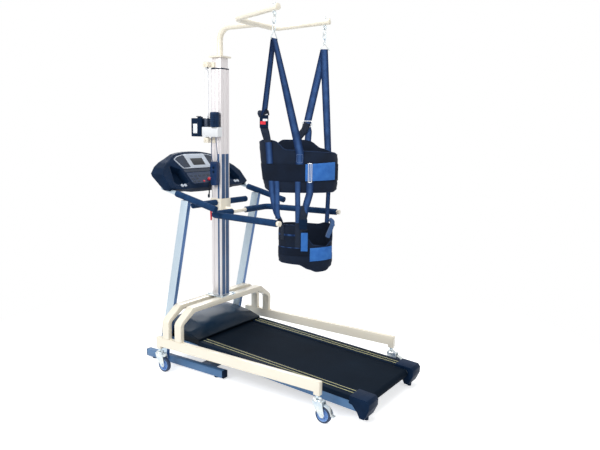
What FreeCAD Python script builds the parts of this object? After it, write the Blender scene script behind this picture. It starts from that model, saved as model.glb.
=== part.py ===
import FreeCAD, Part
import math
import os
import re
from types import SimpleNamespace

import Sketcher
from FreeCAD import Placement, Rotation, Vector

# Body weight support system: a wheeled lifting gantry with a hanging harness,
# standing over a treadmill. Millimetres. X runs from the console to the step-on
# end, Y to the walker's right, Z up. The origin is the middle of the footprint.

# Driving dimensions, one cell of the sheet each
SIZES = {
    # Treadmill footprint and running deck
    "overall_length": 1822,
    "column_x": -507,
    "deck_start": 72,
    "deck_height": 215.7,
    "deck_slope": 3.5,
    "deck_length": 1349.6,
    "deck_half_width": 350,
    "belt_width": 478,
    "belt_thickness": 2.5,
    "belt_drop": 10,
    "roller_radius": 25,
    "roller_shaft_radius": 8,
    "front_roller_setback": 130,
    "drive_pulley_radius": 36,
    "rear_member_inset": 129.6,
    "rear_roller_inset": 31,
    "board_thickness": 18,
    "beam_width": 55.7,
    "beam_height": 54,
    "beam_wall": 3,
    "side_rail_wall": 4,
    "side_rail_skirt": 30,
    "rear_cap_length": 130,
    "rear_cap_half_width": 362,
    "rear_cap_bottom": -112,
    # Treadmill base, uprights and handlebars
    "foot_length": 720,
    "foot_width": 40,
    "foot_height": 49,
    "foot_half_track": 339,
    "foot_clearance": 10,
    "pad_radius": 17,
    "upright_depth": 63.4,
    "upright_thickness": 30,
    "upright_bottom_x": -205,
    "upright_top_x": 29,
    "upright_top": 1180,
    "handlebar_radius": 14,
    "handlebar_foam_radius": 18,
    "handlebar_half_track": 375,
    "handlebar_end_x": 284,
    "handlebar_end_height": 1142,
    "handlebar_front_x": -190,
    "handlebar_front_height": 1251,
    "handlebar_foam_start": -55,
    # Console
    "console_half_width": 402,
    "console_face_x": -70,
    "console_face_height": 1245,
    "console_face_tilt": 42,
    "screen_width": 126,
    "screen_height": 62,
    "stop_button_radius": 8,
    "safety_key_radius": 13,
    # Hood
    "hood_length": 360,
    "hood_half_width": 338,
    "hood_wall": 4,
    # Gantry base
    "rail_length": 1322,
    "rail_start": -153,
    "rail_half_track": 480.5,
    "rail_width": 30,
    "rail_height": 64,
    "rail_top": 241,
    "post_width": 40,
    "post_bottom": 159,
    "tube_wall": 2,
    "arch_front_x": -61,
    "arch_rear_x": 53,
    "arch_depth": 58,
    "arch_top": 456.5,
    "arch_bar": 36,
    "arch_corner": 124,
    "arch_shoulder": 367,
    "arch_bend_radius": 45,
    "base_plate_side": 158,
    "base_plate_thickness": 8,
    "base_bolt_spacing": 124,
    "base_bolt_radius": 5,
    # Casters
    "wheel_radius": 50,
    "wheel_width": 27,
    "hub_width": 35,
    "axle_radius": 4,
    "caster_trail": 42,
    "caster_height": 135,
    "fork_plate": 3,
    "stem_radius": 6,
    # Column and lift
    "column_side": 88,
    "column_wall": 5,
    "column_top": 2056.5,
    "groove_width": 6,
    "groove_depth": 2.5,
    "groove_offset": 20,
    "slide_clearance": 0.5,
    "guide_height": 8,
    "inner_wall": 3,
    "inner_bottom": 1300,
    "flange_underside": 2135,
    "flange_side": 112,
    "flange_thickness": 10,
    "arm_radius": 21,
    "arm_wall": 3,
    "arm_rise": 192,
    "arm_bend_radius": 85,
    "spreader_x": 315.4,
    "spreader_half_width": 209.8,
    "spreader_radius": 19,
    "spreader_bend_radius": 55,
    "hook_x": 670.3,
    "hook_half_track": 281.2,
    "hook_rise": 22.4,
    "spreader_overhang": 34,
    # Actuator
    "actuator_x": -64,
    "actuator_y": -64,
    "actuator_tube_radius": 13,
    "actuator_bore_radius": 9,
    "rod_radius": 8,
    "actuator_tube_top": 2046,
    "gear_bottom": 1596,
    "gear_top": 1664,
    "upper_pin_height": 2086,
    "lower_pin_height": 1572,
    "pin_radius": 5,
    "motor_x": 22,
    "motor_y": -82,
    "motor_radius": 33,
    "motor_height": 102,
    "control_box_length": 98,
    "control_box_depth": 46,
    "control_box_height": 128,
    "handset_width": 66,
    "handset_height": 166,
    "handset_depth": 26,
    "handset_rise": 94,
    "handset_button_radius": 9,
    # Handrail
    "collar_side": 100,
    "collar_height": 94,
    "collar_drop": 22,
    "handrail_height": 1093,
    "handrail_x": 192,
    "handrail_half_width": 298.2,
    "handrail_end_x": 772.6,
    "handrail_end_half_width": 351.8,
    "handrail_radius": 14,
    "handrail_bend_radius": 42,
    "foam_radius": 18.5,
    "cross_bar_rise": 43,
    "cross_bar_half_length": 277,
    "cross_bar_radius": 12.7,
    "lever_x": -65,
    "lever_y": -30,
    "lever_drop": 14,
    "lever_length": 78,
    # Harness
    "harness_x": 665,
    "harness_turn": 34,
    "vest_half_length": 256,
    "vest_half_depth": 142,
    "vest_thickness": 14,
    "vest_top": 1585,
    "vest_bottom": 1262,
    "belt_low": 1332,
    "belt_high": 1438,
    "band_half_length": 178,
    "band_half_depth": 105,
    "band_offset": 55,
    "strap_width": 50,
    "strap_thickness": 2.5,
    "ring_wire": 2.8,
    "triangle_height": 2180,
    # Clearances
    "running_clearance": 0.3,
}

doc = FreeCAD.newDocument("body_weight_support")
sheet = doc.addObject("Spreadsheet::Sheet", "sizes")
for row, (alias, number) in enumerate(SIZES.items(), start=1):
    sheet.set(f"A{row}", alias)
    sheet.set(f"B{row}", str(number))
    sheet.setAlias(f"B{row}", alias)
doc.recompute()
k = SimpleNamespace(**{alias: float(sheet.get(alias)) for alias in SIZES})

X_AXIS, Y_AXIS, Z_AXIS = Vector(1, 0, 0), Vector(0, 1, 0), Vector(0, 0, 1)
nodes = []


def rule(text):
    """An expression with each size name pointed at its cell in the sheet."""
    return re.sub(r"[a-z_]+", lambda word: "sizes." + word[0] if word[0] in SIZES else word[0], text)


def node(name, piece):
    """Give a finished sub-part its own name, and keep it for export."""
    piece.Label = name
    nodes.append(piece)
    return piece


def place(piece, x="0", y="0", z="0", turn=None, axis=Y_AXIS):
    """Tie a piece's place, and its turn about an axis, to the sheet."""
    if turn is not None:
        piece.Placement = Placement(Vector(0, 0, 0), Rotation(axis, 10))
        piece.setExpression("Placement.Rotation.Angle", rule(turn))
    for side, text in zip("xyz", (x, y, z)):
        piece.setExpression("Placement.Base." + side, rule(text))
    return piece


def shape(name, solid):
    """A sub-part whose form is worked out from the sheet's values."""
    piece = doc.addObject("Part::Feature", name)
    piece.Shape = solid
    return piece


def loop(points):
    """A closed outline of lines and tangent arcs, from corners (x, y, radius)."""
    edges, ends = [], []
    for i, (x, y, radius) in enumerate(points):
        corner = Vector(x, y, 0)
        before, after = points[i - 1], points[(i + 1) % len(points)]
        back = (Vector(before[0], before[1], 0) - corner).normalize()
        ahead = (Vector(after[0], after[1], 0) - corner).normalize()
        if radius <= 0:
            ends.append((corner, corner, None))
            continue
        half = back.getAngle(ahead) / 2
        reach = radius / math.tan(half)
        middle = corner + (back + ahead).normalize() * (radius / math.sin(half) - radius)
        ends.append((corner + back * reach, corner + ahead * reach, middle))
    for i, (start, stop, middle) in enumerate(ends):
        if middle is not None:
            edges.append(Part.Arc(start, middle, stop))
        following = ends[(i + 1) % len(ends)][0]
        if stop.distanceToPoint(following) > 0.001:
            edges.append(Part.LineSegment(stop, following))
    return edges


def sketch(body, role, edges):
    """A sketch on one of its own body's origin planes."""
    plane = next(part for part in body.Origin.OriginFeatures if part.Role == role)
    drawing = body.newObject("Sketcher::SketchObject", body.Name + "_sketch")
    drawing.AttachmentSupport = [(plane, "")]
    drawing.MapMode = "FlatFace"
    if edges:
        drawing.addGeometry(edges, False)
    return drawing


def rectangle(drawing, width, height):
    """Add a centred rectangle whose sides follow two expressions."""
    first = drawing.GeometryCount
    corners = [Vector(-10, -5, 0), Vector(10, -5, 0), Vector(10, 5, 0), Vector(-10, 5, 0)]
    sides = [Part.LineSegment(corners[i], corners[(i + 1) % 4]) for i in range(4)]
    drawing.addGeometry(sides, False)
    make = Sketcher.Constraint
    drawing.addConstraint([make("Coincident", first + i, 2, first + (i + 1) % 4, 1) for i in range(4)])
    drawing.addConstraint([make("Horizontal", first), make("Horizontal", first + 2)])
    drawing.addConstraint([make("Vertical", first + 1), make("Vertical", first + 3)])
    drawing.addConstraint(make("Symmetric", first, 1, first + 1, 2, -1, 1))
    across = drawing.addConstraint(make("DistanceX", first, 1, first, 2, 20))
    up = drawing.addConstraint(make("DistanceY", first + 1, 1, first + 1, 2, 10))
    drawing.setExpression(f"Constraints[{across}]", rule(width))
    drawing.setExpression(f"Constraints[{up}]", rule(height))


def pad(body, drawing, length, both_ways=True):
    """Pad a sketch to a length from the sheet."""
    feature = body.newObject("PartDesign::Pad", body.Name + "_pad")
    feature.Profile = drawing
    feature.SideType = "Symmetric" if both_ways else "One side"
    feature.setExpression("Length", rule(length))
    return feature


def pocket(body, drawing, length):
    """Cut a sketch to both sides of its plane, and check that it removes something."""
    doc.recompute()
    before = body.Shape.Volume
    feature = body.newObject("PartDesign::Pocket", body.Name + "_pocket")
    feature.Profile = drawing
    feature.SideType = "Symmetric"
    feature.setExpression("Length", rule(length))
    doc.recompute()
    if body.Shape.Volume > before - 1:
        raise ValueError("a pocket cut nothing in " + body.Name)
    return feature


def new_body(name):
    return doc.addObject("PartDesign::Body", name)


def profile_body(name, role, outline, length, hollow=None, hollow_length=None):
    """An outline padded both ways from its plane, with an optional hollow."""
    body = new_body(name)
    pad(body, sketch(body, role, loop(outline)), length)
    if hollow:
        pocket(body, sketch(body, role, loop(hollow)), hollow_length)
    return body


def square_tube(name, role, width, height, wall, length):
    """A rectangular tube, padded one way from its plane."""
    body = new_body(name)
    drawing = sketch(body, role, None)
    rectangle(drawing, width, height)
    rectangle(drawing, f"{width} - 2 * {wall}", f"{height} - 2 * {wall}")
    pad(body, drawing, length, both_ways=False)
    return body


def mirrored(name, piece):
    """The same piece on the other side of the machine, as a second solid."""
    twin = doc.addObject("Part::Mirroring", name + "_twin")
    twin.Source = piece
    twin.Normal = Y_AXIS
    both = doc.addObject("Part::Compound", name + "_pair")
    both.Links = [piece, twin]
    return both


def box(name, length, width, height):
    """A block whose sides follow the sheet."""
    block = doc.addObject("Part::Box", name)
    for side, text in zip(("Length", "Width", "Height"), (length, width, height)):
        block.setExpression(side, rule(text))
    return block


def cylinder(name, radius, height):
    """A round bar whose sizes follow the sheet."""
    bar = doc.addObject("Part::Cylinder", name)
    bar.setExpression("Radius", rule(radius))
    bar.setExpression("Height", rule(height))
    return bar


def fuse(name, pieces):
    joined = doc.addObject("Part::MultiFuse", name + "_fused")
    joined.Shapes = pieces
    return joined


def cut(name, base, tool):
    result = doc.addObject("Part::Cut", name + "_cut")
    result.Base = base
    result.Tool = tool
    return result


def bar(start, stop, radius):
    """A plain round bar between two points."""
    run = stop - start
    return Part.makeCylinder(radius, run.Length, start, run)


def bent_path(points, radius):
    """Straight runs joined by tangent arcs."""
    edges, last = [], points[0]
    for before, corner, after in zip(points, points[1:], points[2:]):
        back = (before - corner).normalize()
        ahead = (after - corner).normalize()
        half = back.getAngle(ahead) / 2
        reach = radius / math.tan(half)
        middle = corner + (back + ahead).normalize() * (radius / math.sin(half) - radius)
        edges.append(Part.LineSegment(last, corner + back * reach))
        edges.append(Part.Arc(corner + back * reach, middle, corner + ahead * reach))
        last = corner + ahead * reach
    edges.append(Part.LineSegment(last, points[-1]))
    return Part.Wire([edge.toShape() for edge in edges])


def bent_bar(points, bend, radius):
    """A round bar along a bent path."""
    path = bent_path(points, bend)
    ring = Part.Circle(points[0], points[1] - points[0], radius).toShape()
    return path.makePipeShell([Part.Wire(ring)], True, False)


def bent_tube(points, bend, radius, bore):
    """A round tube along a bent path, open at both ends."""
    return bent_bar(points, bend, radius).cut(bent_bar(points, bend, bore))


def slab(outline, depth, at, turn=None):
    """An outline drawn in X and Z, made solid along Y, both ways from its plane."""
    face = Part.Face(Part.Wire([edge.toShape() for edge in loop(outline)]))
    solid = face.extrude(Vector(0, 0, depth))
    solid.Placement = Placement(at + Vector(0, depth / 2, 0), Rotation(X_AXIS, 90))
    return solid


def hexagon(across, height, at):
    """A hexagon head or nut standing on a point."""
    radius = across / math.sqrt(3)
    corners = [
        at + Vector(radius * math.cos(math.radians(60 * i)), radius * math.sin(math.radians(60 * i)), 0)
        for i in range(6)
    ]
    return Part.Face(Part.makePolygon(corners + corners[:1])).extrude(Vector(0, 0, height))


def on_deck(piece):
    """Seat a piece drawn level on the sloping running deck."""
    return place(piece, "column_x + deck_start", "0", "deck_height", turn="deck_slope")


COLUMN = Vector(k.column_x, 0, 0)
SIDES = (("left", -1), ("right", 1))
ENDS = (("front", k.rail_start + k.post_width / 2), ("rear", k.rail_start + k.rail_length - k.post_width / 2))

# Gantry side rails: one rectangular steel tube each side, with a short post at
# both ends that takes the caster stem
rail_ends = (k.column_x + k.rail_start, k.column_x + k.rail_start + k.rail_length)
rail_under = k.rail_top - k.rail_height


def rail_outline(inset, post_end):
    """The rail's side view, or its hollow when inset by the wall."""
    corner = 5 if inset == 0 else 0
    front, rear = rail_ends[0] + inset, rail_ends[1] - inset
    top, under = k.rail_top - inset, rail_under + inset
    post = k.post_width - 2 * inset
    return [
        (front, top, corner), (rear, top, corner), (rear, post_end, 0), (rear - post, post_end, 0),
        (rear - post, under, 0), (front + post, under, 0), (front + post, post_end, 0),
        (front, post_end, 0),
    ]


rail = profile_body(
    "rail", "XZ_Plane", rail_outline(0, k.post_bottom), "rail_width",
    rail_outline(k.tube_wall, k.post_bottom - 1), "rail_width - 2 * tube_wall",
)
place(rail, y="-rail_half_track")
node("frame_rails", mirrored("frame_rails", rail))

# Arches: two bent rectangular tubes that stand on the rails and bridge the
# treadmill, and carry the column
arch_outer = k.rail_half_track + k.rail_width / 2


def arch_outline(inset, foot):
    """The arch's front view, or its hollow when inset by the wall."""
    outer, inner = arch_outer - inset, arch_outer - k.rail_width + inset
    bend = k.arch_bend_radius
    top, under = k.arch_top - inset, k.arch_top - k.arch_bar + inset
    shoulder = k.arch_shoulder - 0.4 * inset
    corner = outer - k.arch_corner - 0.4 * inset
    inner_shoulder = k.arch_shoulder - 0.36 * k.rail_width + 0.4 * inset
    inner_corner = inner - k.arch_corner + 0.5 * k.rail_width
    half = [
        (outer, foot, 0), (outer, shoulder, bend), (corner, top, bend),
    ]
    inner_half = [
        (inner_corner, under, bend - 15), (inner, inner_shoulder, bend - 15), (inner, foot, 0),
    ]
    return (
        half + [(-y, z, r) for y, z, r in reversed(half)]
        + [(-y, z, r) for y, z, r in reversed(inner_half)] + inner_half
    )


arches = []
for end, offset in (("front", "arch_front_x"), ("rear", "arch_rear_x")):
    arch = profile_body(
        end + "_arch", "YZ_Plane", arch_outline(0, k.rail_top), "arch_depth",
        arch_outline(k.tube_wall, k.rail_top - 1), "arch_depth - 2 * tube_wall",
    )
    arches.append(place(arch, x="column_x + " + offset))
arch_pair = doc.addObject("Part::Compound", "arch_pair")
arch_pair.Links = arches
node("arches", arch_pair)

# Column base plate: a square plate across both arches, bolted at its corners
base_plate = new_body("base_plate")
plate_half, bolt_half = k.base_plate_side / 2, k.base_bolt_spacing / 2
plate_corners = [(sx * plate_half, sy * plate_half, 8) for sx, sy in ((-1, -1), (1, -1), (1, 1), (-1, 1))]
pad(base_plate, sketch(base_plate, "XY_Plane", loop(plate_corners)), "base_plate_thickness", False)
holes = [
    Part.Circle(Vector(sx * bolt_half, sy * bolt_half, 0), Z_AXIS, k.base_bolt_radius + k.running_clearance)
    for sx, sy in ((-1, -1), (1, -1), (1, 1), (-1, 1))
]
pocket(base_plate, sketch(base_plate, "XY_Plane", holes), "3 * base_plate_thickness")
place(base_plate, "column_x", "0", "arch_top")
node("column_base_plate", base_plate)

# Zinc plated fasteners: the base plate's bolts, and the caster stems with
# their lock nuts and the plugs that grip inside the posts
plate_top = k.arch_top + k.base_plate_thickness
fasteners = []
for sx in (-1, 1):
    for sy in (-1, 1):
        foot = COLUMN + Vector(sx * bolt_half, sy * bolt_half, k.arch_top)
        head = hexagon(16, 7, foot + Vector(0, 0, k.base_plate_thickness))
        fasteners.append(bar(foot, foot + Vector(0, 0, k.base_plate_thickness), k.base_bolt_radius).fuse(head))
plug_length, plug_gap = 26, k.running_clearance
plug_x = k.post_width - 2 * (k.tube_wall + plug_gap)
plug_y = k.rail_width - 2 * (k.tube_wall + plug_gap)
for end, offset in ENDS:
    for side, sign in SIDES:
        axis = COLUMN + Vector(offset, sign * k.rail_half_track, 0)
        stem = bar(
            axis + Vector(0, 0, k.caster_height - 12), axis + Vector(0, 0, k.post_bottom + 4), k.stem_radius
        )
        nut = hexagon(22, 11, axis + Vector(0, 0, k.post_bottom - 15))
        washer = bar(axis + Vector(0, 0, k.post_bottom - 4), axis + Vector(0, 0, k.post_bottom), 14)
        plug = Part.makeBox(
            plug_x, plug_y, plug_length, axis + Vector(-plug_x / 2, -plug_y / 2, k.post_bottom)
        )
        fasteners.append(stem.fuse([nut, washer, plug]))
node("frame_fasteners", shape("frame_fasteners", Part.makeCompound(fasteners)))

# Casters: zinc plated swivel forks with a bolted axle, grey wheels with a
# rubber tyre, and a foot brake on the rear pair
fork_inner = k.hub_width / 2 + 1
fork_outer = fork_inner + k.fork_plate


def fork_solid(brake):
    """A fork about its swivel axis, with its axle along Y."""
    trail, axle_z, top = k.caster_trail, k.wheel_radius, k.caster_height - 8
    cheek = [
        (-25, top, 4), (42, top, 4), (trail + 15, axle_z + 4, 10), (trail + 9, axle_z - 14, 9),
        (trail - 12, axle_z - 13, 9), (-18, top - 26, 14),
    ]
    cheeks = [
        slab(cheek, k.fork_plate, Vector(0, sign * (fork_outer - k.fork_plate / 2), 0)) for sign in (-1, 1)
    ]
    crown = Part.makeBox(67, 2 * fork_outer, 4, Vector(-25, -fork_outer, top - 4))
    race = Part.makeCone(29, 25, 8, Vector(0, 0, top), Z_AXIS)
    stem_hole = Part.makeCylinder(k.stem_radius + k.running_clearance, 14, Vector(0, 0, top - 5))
    axle = bar(Vector(trail, -fork_outer - 1, axle_z), Vector(trail, fork_outer + 1, axle_z), k.axle_radius)
    heads = [
        bar(Vector(trail, s * fork_outer, axle_z), Vector(trail, s * (fork_outer + 5), axle_z), 7.5)
        for s in (-1, 1)
    ]
    solid = cheeks[0].fuse([cheeks[1], crown, race, axle] + heads)
    if brake:
        pin = Vector(*PEDAL_PIVOT)
        solid = solid.fuse(bar(pin - Y_AXIS * fork_outer, pin + Y_AXIS * fork_outer, 3))
    return solid.cut(stem_hole).removeSplitter()


PEDAL_PIVOT = (k.caster_trail - 10, 0, k.wheel_radius + 57)


def wheel_solid():
    """A turned hub, web and rim with its tyre, about Y."""
    radius, half, hub = k.wheel_radius, k.wheel_width / 2, k.hub_width / 2
    bore = k.axle_radius + k.running_clearance
    section = [
        (bore, -hub, 0), (13, -hub, 2), (15, -6, 2), (radius - 17, -5, 3), (radius - 13, -half + 1, 2),
        (radius, -half, 9), (radius, half, 9), (radius - 13, half - 1, 2), (radius - 17, 5, 3),
        (15, 6, 2), (13, hub, 2), (bore, hub, 0),
    ]
    face = Part.Face(Part.Wire([edge.toShape() for edge in loop(section)]))
    return face.revolve(Vector(0, 0, 0), Y_AXIS, 360)


def pedal_solid():
    """A curved brake pedal that follows the tyre, hinged on the fork's pin."""
    axle = Vector(k.caster_trail, 0, k.wheel_radius)
    inner, outer, width = k.wheel_radius + 5.5, k.wheel_radius + 9.5, 30

    def at(radius, degrees):
        angle = math.radians(degrees)
        return axle + Vector(radius * math.cos(angle), 0, radius * math.sin(angle))

    edges = [
        Part.Arc(at(inner, 8), at(inner, 54), at(inner, 98)).toShape(),
        Part.LineSegment(at(inner, 98), at(outer, 98)).toShape(),
        Part.Arc(at(outer, 98), at(outer, 54), at(outer, 8)).toShape(),
        Part.LineSegment(at(outer, 8), at(outer + 14, 4)).toShape(),
        Part.LineSegment(at(outer + 14, 4), at(outer + 13, 0)).toShape(),
        Part.LineSegment(at(outer + 13, 0), at(inner, 8)).toShape(),
    ]
    blade = Part.Face(Part.Wire(edges)).extrude(Vector(0, width, 0))
    blade.translate(Vector(0, -width / 2, 0))
    pivot = Vector(*PEDAL_PIVOT)
    barrel = bar(pivot - Y_AXIS * (width / 2), pivot + Y_AXIS * (width / 2), 6)
    hole = bar(pivot - Y_AXIS * width, pivot + Y_AXIS * width, 3 + k.running_clearance)
    return blade.fuse(barrel).cut(hole)


wheel = wheel_solid()
for end, offset in ENDS:
    for side, sign in SIDES:
        corner_name = f"{end}_{side}_"
        across = f"{'-' if sign < 0 else ''}rail_half_track"
        along = "column_x + rail_start + " + (
            "post_width / 2" if end == "front" else "rail_length - post_width / 2"
        )
        fork = shape(corner_name + "fork", fork_solid(end == "rear"))
        node(corner_name + "fork", place(fork, along, across))
        tyre = shape(corner_name + "wheel", wheel)
        node(corner_name + "wheel", place(tyre, along + " + caster_trail", across, "wheel_radius"))
        if end == "rear":
            pedal = shape(corner_name + "brake_pedal", pedal_solid())
            node(corner_name + "brake_pedal", place(pedal, along, across))

# Column: a square aluminium extrusion with two grooves in each face, and the
# telescopic inner column that slides in it on a plastic guide
inner_side = "column_side - 2 * column_wall - 2 * slide_clearance"
column_half = k.column_side / 2


def grooved_square():
    """The column's outline with its grooves."""
    face = []
    for centre in (-k.groove_offset, k.groove_offset):
        low, high = centre - k.groove_width / 2, centre + k.groove_width / 2
        floor = column_half - k.groove_depth
        face += [(low, column_half), (low, floor), (high, floor), (high, column_half)]
    face = [(-column_half, column_half)] + face
    points = []
    for quarter in range(4):
        for x, y in face:
            for _ in range(quarter):
                x, y = y, -x
            points.append((x, y, 0))
    return points


outer_column = new_body("outer_column_body")
column_drawing = sketch(outer_column, "XY_Plane", loop(grooved_square()))
rectangle(column_drawing, "column_side - 2 * column_wall", "column_side - 2 * column_wall")
pad(outer_column, column_drawing, "column_top - arch_top - base_plate_thickness", False)
node("outer_column", place(outer_column, "column_x", "0", "arch_top + base_plate_thickness"))

guide = square_tube(
    "guide", "XY_Plane", "column_side", "column_side", "(column_wall + slide_clearance / 2)", "guide_height"
)
node("column_guide", place(guide, "column_x", "0", "column_top"))

inner_column = square_tube(
    "inner_column_body", "XY_Plane", f"({inner_side})", f"({inner_side})", "inner_wall",
    "flange_underside - inner_bottom",
)
node("inner_column", place(inner_column, "column_x", "0", "inner_bottom"))

# Overhead arm: a flange on top of the inner column and a round tube that rises
# from it and bends over the walker
flange_half = k.flange_side / 2
flange_outline = [
    (sx * flange_half, sy * flange_half, 6) for sx, sy in ((-1, -1), (1, -1), (1, 1), (-1, 1))
]
flange = Part.Face(Part.Wire([edge.toShape() for edge in loop(flange_outline)])).extrude(
    Vector(0, 0, k.flange_thickness)
)
flange.translate(COLUMN + Vector(0, 0, k.flange_underside))
arm_height = k.flange_underside + k.flange_thickness + k.arm_rise
hook_height = arm_height + k.hook_rise
arm_path = [
    COLUMN + Vector(0, 0, k.flange_underside + k.flange_thickness / 2),
    COLUMN + Vector(0, 0, arm_height),
    COLUMN + Vector(k.spreader_x, 0, arm_height),
]
spreader_path = [
    COLUMN + Vector(k.hook_x + k.spreader_overhang, -k.hook_half_track - 7, hook_height + 2),
    COLUMN + Vector(k.spreader_x, -k.spreader_half_width, arm_height),
    COLUMN + Vector(k.spreader_x, k.spreader_half_width, arm_height),
    COLUMN + Vector(k.hook_x + k.spreader_overhang, k.hook_half_track + 7, hook_height + 2),
]
spreader_solid = bent_bar(spreader_path, k.spreader_bend_radius, k.spreader_radius)
arm = bent_tube(arm_path, k.arm_bend_radius, k.arm_radius, k.arm_radius - k.arm_wall)
arm = arm.fuse(flange).cut(spreader_solid)
node("overhead_arm", shape("overhead_arm", arm.removeSplitter()))

# Spreader bar: the U-shaped tube welded across the arm, closed at its ends,
# with a hole near each end for an eye bolt
hooks = [COLUMN + Vector(k.hook_x, sign * k.hook_half_track, hook_height) for _, sign in SIDES]
spreader = bent_tube(
    spreader_path, k.spreader_bend_radius, k.spreader_radius, k.spreader_radius - k.tube_wall
)
for tip, inward in ((spreader_path[0], spreader_path[1]), (spreader_path[-1], spreader_path[-2])):
    outward = (tip - inward).normalize()
    plug = bar(tip - outward * 4, tip + outward * 3, k.spreader_radius - 1)
    spreader = spreader.fuse(plug)
for hook in hooks:
    spreader = spreader.cut(bar(hook - Z_AXIS * 40, hook + Z_AXIS * 40, 5 + k.running_clearance))
node("spreader_bar", shape("spreader_bar", spreader))

# Eye bolts: through the spreader tube, nutted on top, with the eye below
eye_radius, eye_wire = 11, 4
eye_drop = k.spreader_radius + eye_radius + eye_wire + 2
eye_bolts = []
for hook in hooks:
    eye = Part.makeTorus(eye_radius, eye_wire, hook - Z_AXIS * eye_drop, Y_AXIS)
    shank = bar(hook - Z_AXIS * (eye_drop - eye_radius), hook + Z_AXIS * (k.spreader_radius + 16), 5)
    collar = bar(hook - Z_AXIS * (k.spreader_radius + 2.5), hook - Z_AXIS * (k.spreader_radius + 0.3), 9)
    nut = hexagon(17, 8, hook + Z_AXIS * (k.spreader_radius + 0.3))
    eye_bolts.append(eye.fuse([shank, collar, nut]))
node("eye_bolts", shape("eye_bolts", Part.makeCompound(eye_bolts)))

# Lifting actuator: a tube with its gear housing hung on a bracket on the outer
# column, the rod that pushes the inner column up, and the motor beside it
actuator = COLUMN + Vector(k.actuator_x, k.actuator_y, 0)
plate = 4


def clevis(face_y, height, rise):
    """A bracket with two cheeks across a pin, bolted to a column face."""
    near, far = k.actuator_y - 16, k.actuator_y + 16
    low = height - rise / 2
    x_left, x_right = k.actuator_x - 16, k.actuator_x + 54
    far_cheek = Part.makeBox(x_right - x_left, plate, rise, Vector(x_left, far, low))
    near_cheek = Part.makeBox(36, plate, rise, Vector(x_left, near - plate, low))
    web = Part.makeBox(plate, far - near + plate, rise, Vector(x_left + 36, near - plate, low))
    pin = bar(
        Vector(k.actuator_x, near - plate - 4, height), Vector(k.actuator_x, far + plate, height),
        k.pin_radius,
    )
    solid = far_cheek.fuse([near_cheek, web, pin])
    if face_y > far + plate:
        foot = Part.makeBox(
            x_right - (-33), face_y - far - plate, rise, Vector(-33, far + plate, low)
        )
        solid = solid.fuse(foot)
    solid.translate(COLUMN)
    return solid


inner_half = k.column_side / 2 - k.column_wall - k.slide_clearance
node("lower_bracket", shape("lower_bracket", clevis(-column_half, k.lower_pin_height, 34)))
node("upper_bracket", shape("upper_bracket", clevis(-inner_half, k.upper_pin_height, 34)))


def pinned_eye(height, toward):
    """The flat eye at an actuator end, bored for the bracket's pin."""
    at = actuator + Vector(0, 0, height)
    eye = bar(at - Y_AXIS * 10, at + Y_AXIS * 10, 12)
    neck = Part.makeBox(18, 20, abs(toward), at + Vector(-9, -10, min(0, toward)))
    return eye.fuse(neck), bar(at - Y_AXIS * 20, at + Y_AXIS * 20, k.pin_radius + k.running_clearance)


tube_foot = actuator + Vector(0, 0, k.gear_bottom)
tube = bar(tube_foot, actuator + Vector(0, 0, k.actuator_tube_top), k.actuator_tube_radius)
gear_boss = bar(tube_foot, actuator + Vector(0, 0, k.gear_top + 58), 23)
gear_case = slab(
    [
        (k.actuator_x - 24, k.gear_bottom, 8), (k.motor_x + 34, k.gear_bottom, 8),
        (k.motor_x + 34, k.gear_top, 4), (k.actuator_x - 24, k.gear_top, 4),
    ],
    46, COLUMN + Vector(0, -69, 0),
)
rear_eye, rear_hole = pinned_eye(k.lower_pin_height, k.gear_bottom - k.lower_pin_height + 1)
bore = bar(
    tube_foot + Vector(0, 0, 20), actuator + Vector(0, 0, k.actuator_tube_top + 1), k.actuator_bore_radius
)
body_of_actuator = tube.fuse([gear_boss, gear_case, rear_eye]).cut(bore).cut(rear_hole)
node("actuator_body", shape("actuator_body", body_of_actuator.removeSplitter()))

rod_eye, rod_hole = pinned_eye(k.upper_pin_height, -(k.upper_pin_height - k.actuator_tube_top) + 14)
rod = bar(actuator + Vector(0, 0, k.gear_top), actuator + Vector(0, 0, k.upper_pin_height - 14), k.rod_radius)
node("actuator_rod", shape("actuator_rod", rod.fuse(rod_eye).cut(rod_hole).removeSplitter()))

motor_foot = COLUMN + Vector(k.motor_x, k.motor_y, k.gear_top)
motor = bar(motor_foot, motor_foot + Vector(0, 0, k.motor_height), k.motor_radius)
crown = [edge for edge in motor.Edges if edge.BoundBox.ZMin > motor_foot.z + k.motor_height - 1]
motor = motor.makeFillet(10, [edge for edge in crown if edge.Curve.TypeId == "Part::GeomCircle"])
node("actuator_motor", shape("actuator_motor", motor))

# Control box: the motor's power and relay box, on a plate beside the gear case
box_x = k.actuator_x - 24 - 6
box_low = k.gear_bottom
control_box = Part.makeBox(
    k.control_box_length, k.control_box_depth, k.control_box_height,
    COLUMN + Vector(box_x - k.control_box_length, -69 - k.control_box_depth / 2, box_low),
)
control_box = control_box.makeFillet(5, control_box.Edges)
mount_plate = Part.makeBox(7, 34, 60, COLUMN + Vector(box_x - 1, -86, box_low + 4))
node("control_box", shape("control_box", control_box.fuse(mount_plate)))

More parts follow.
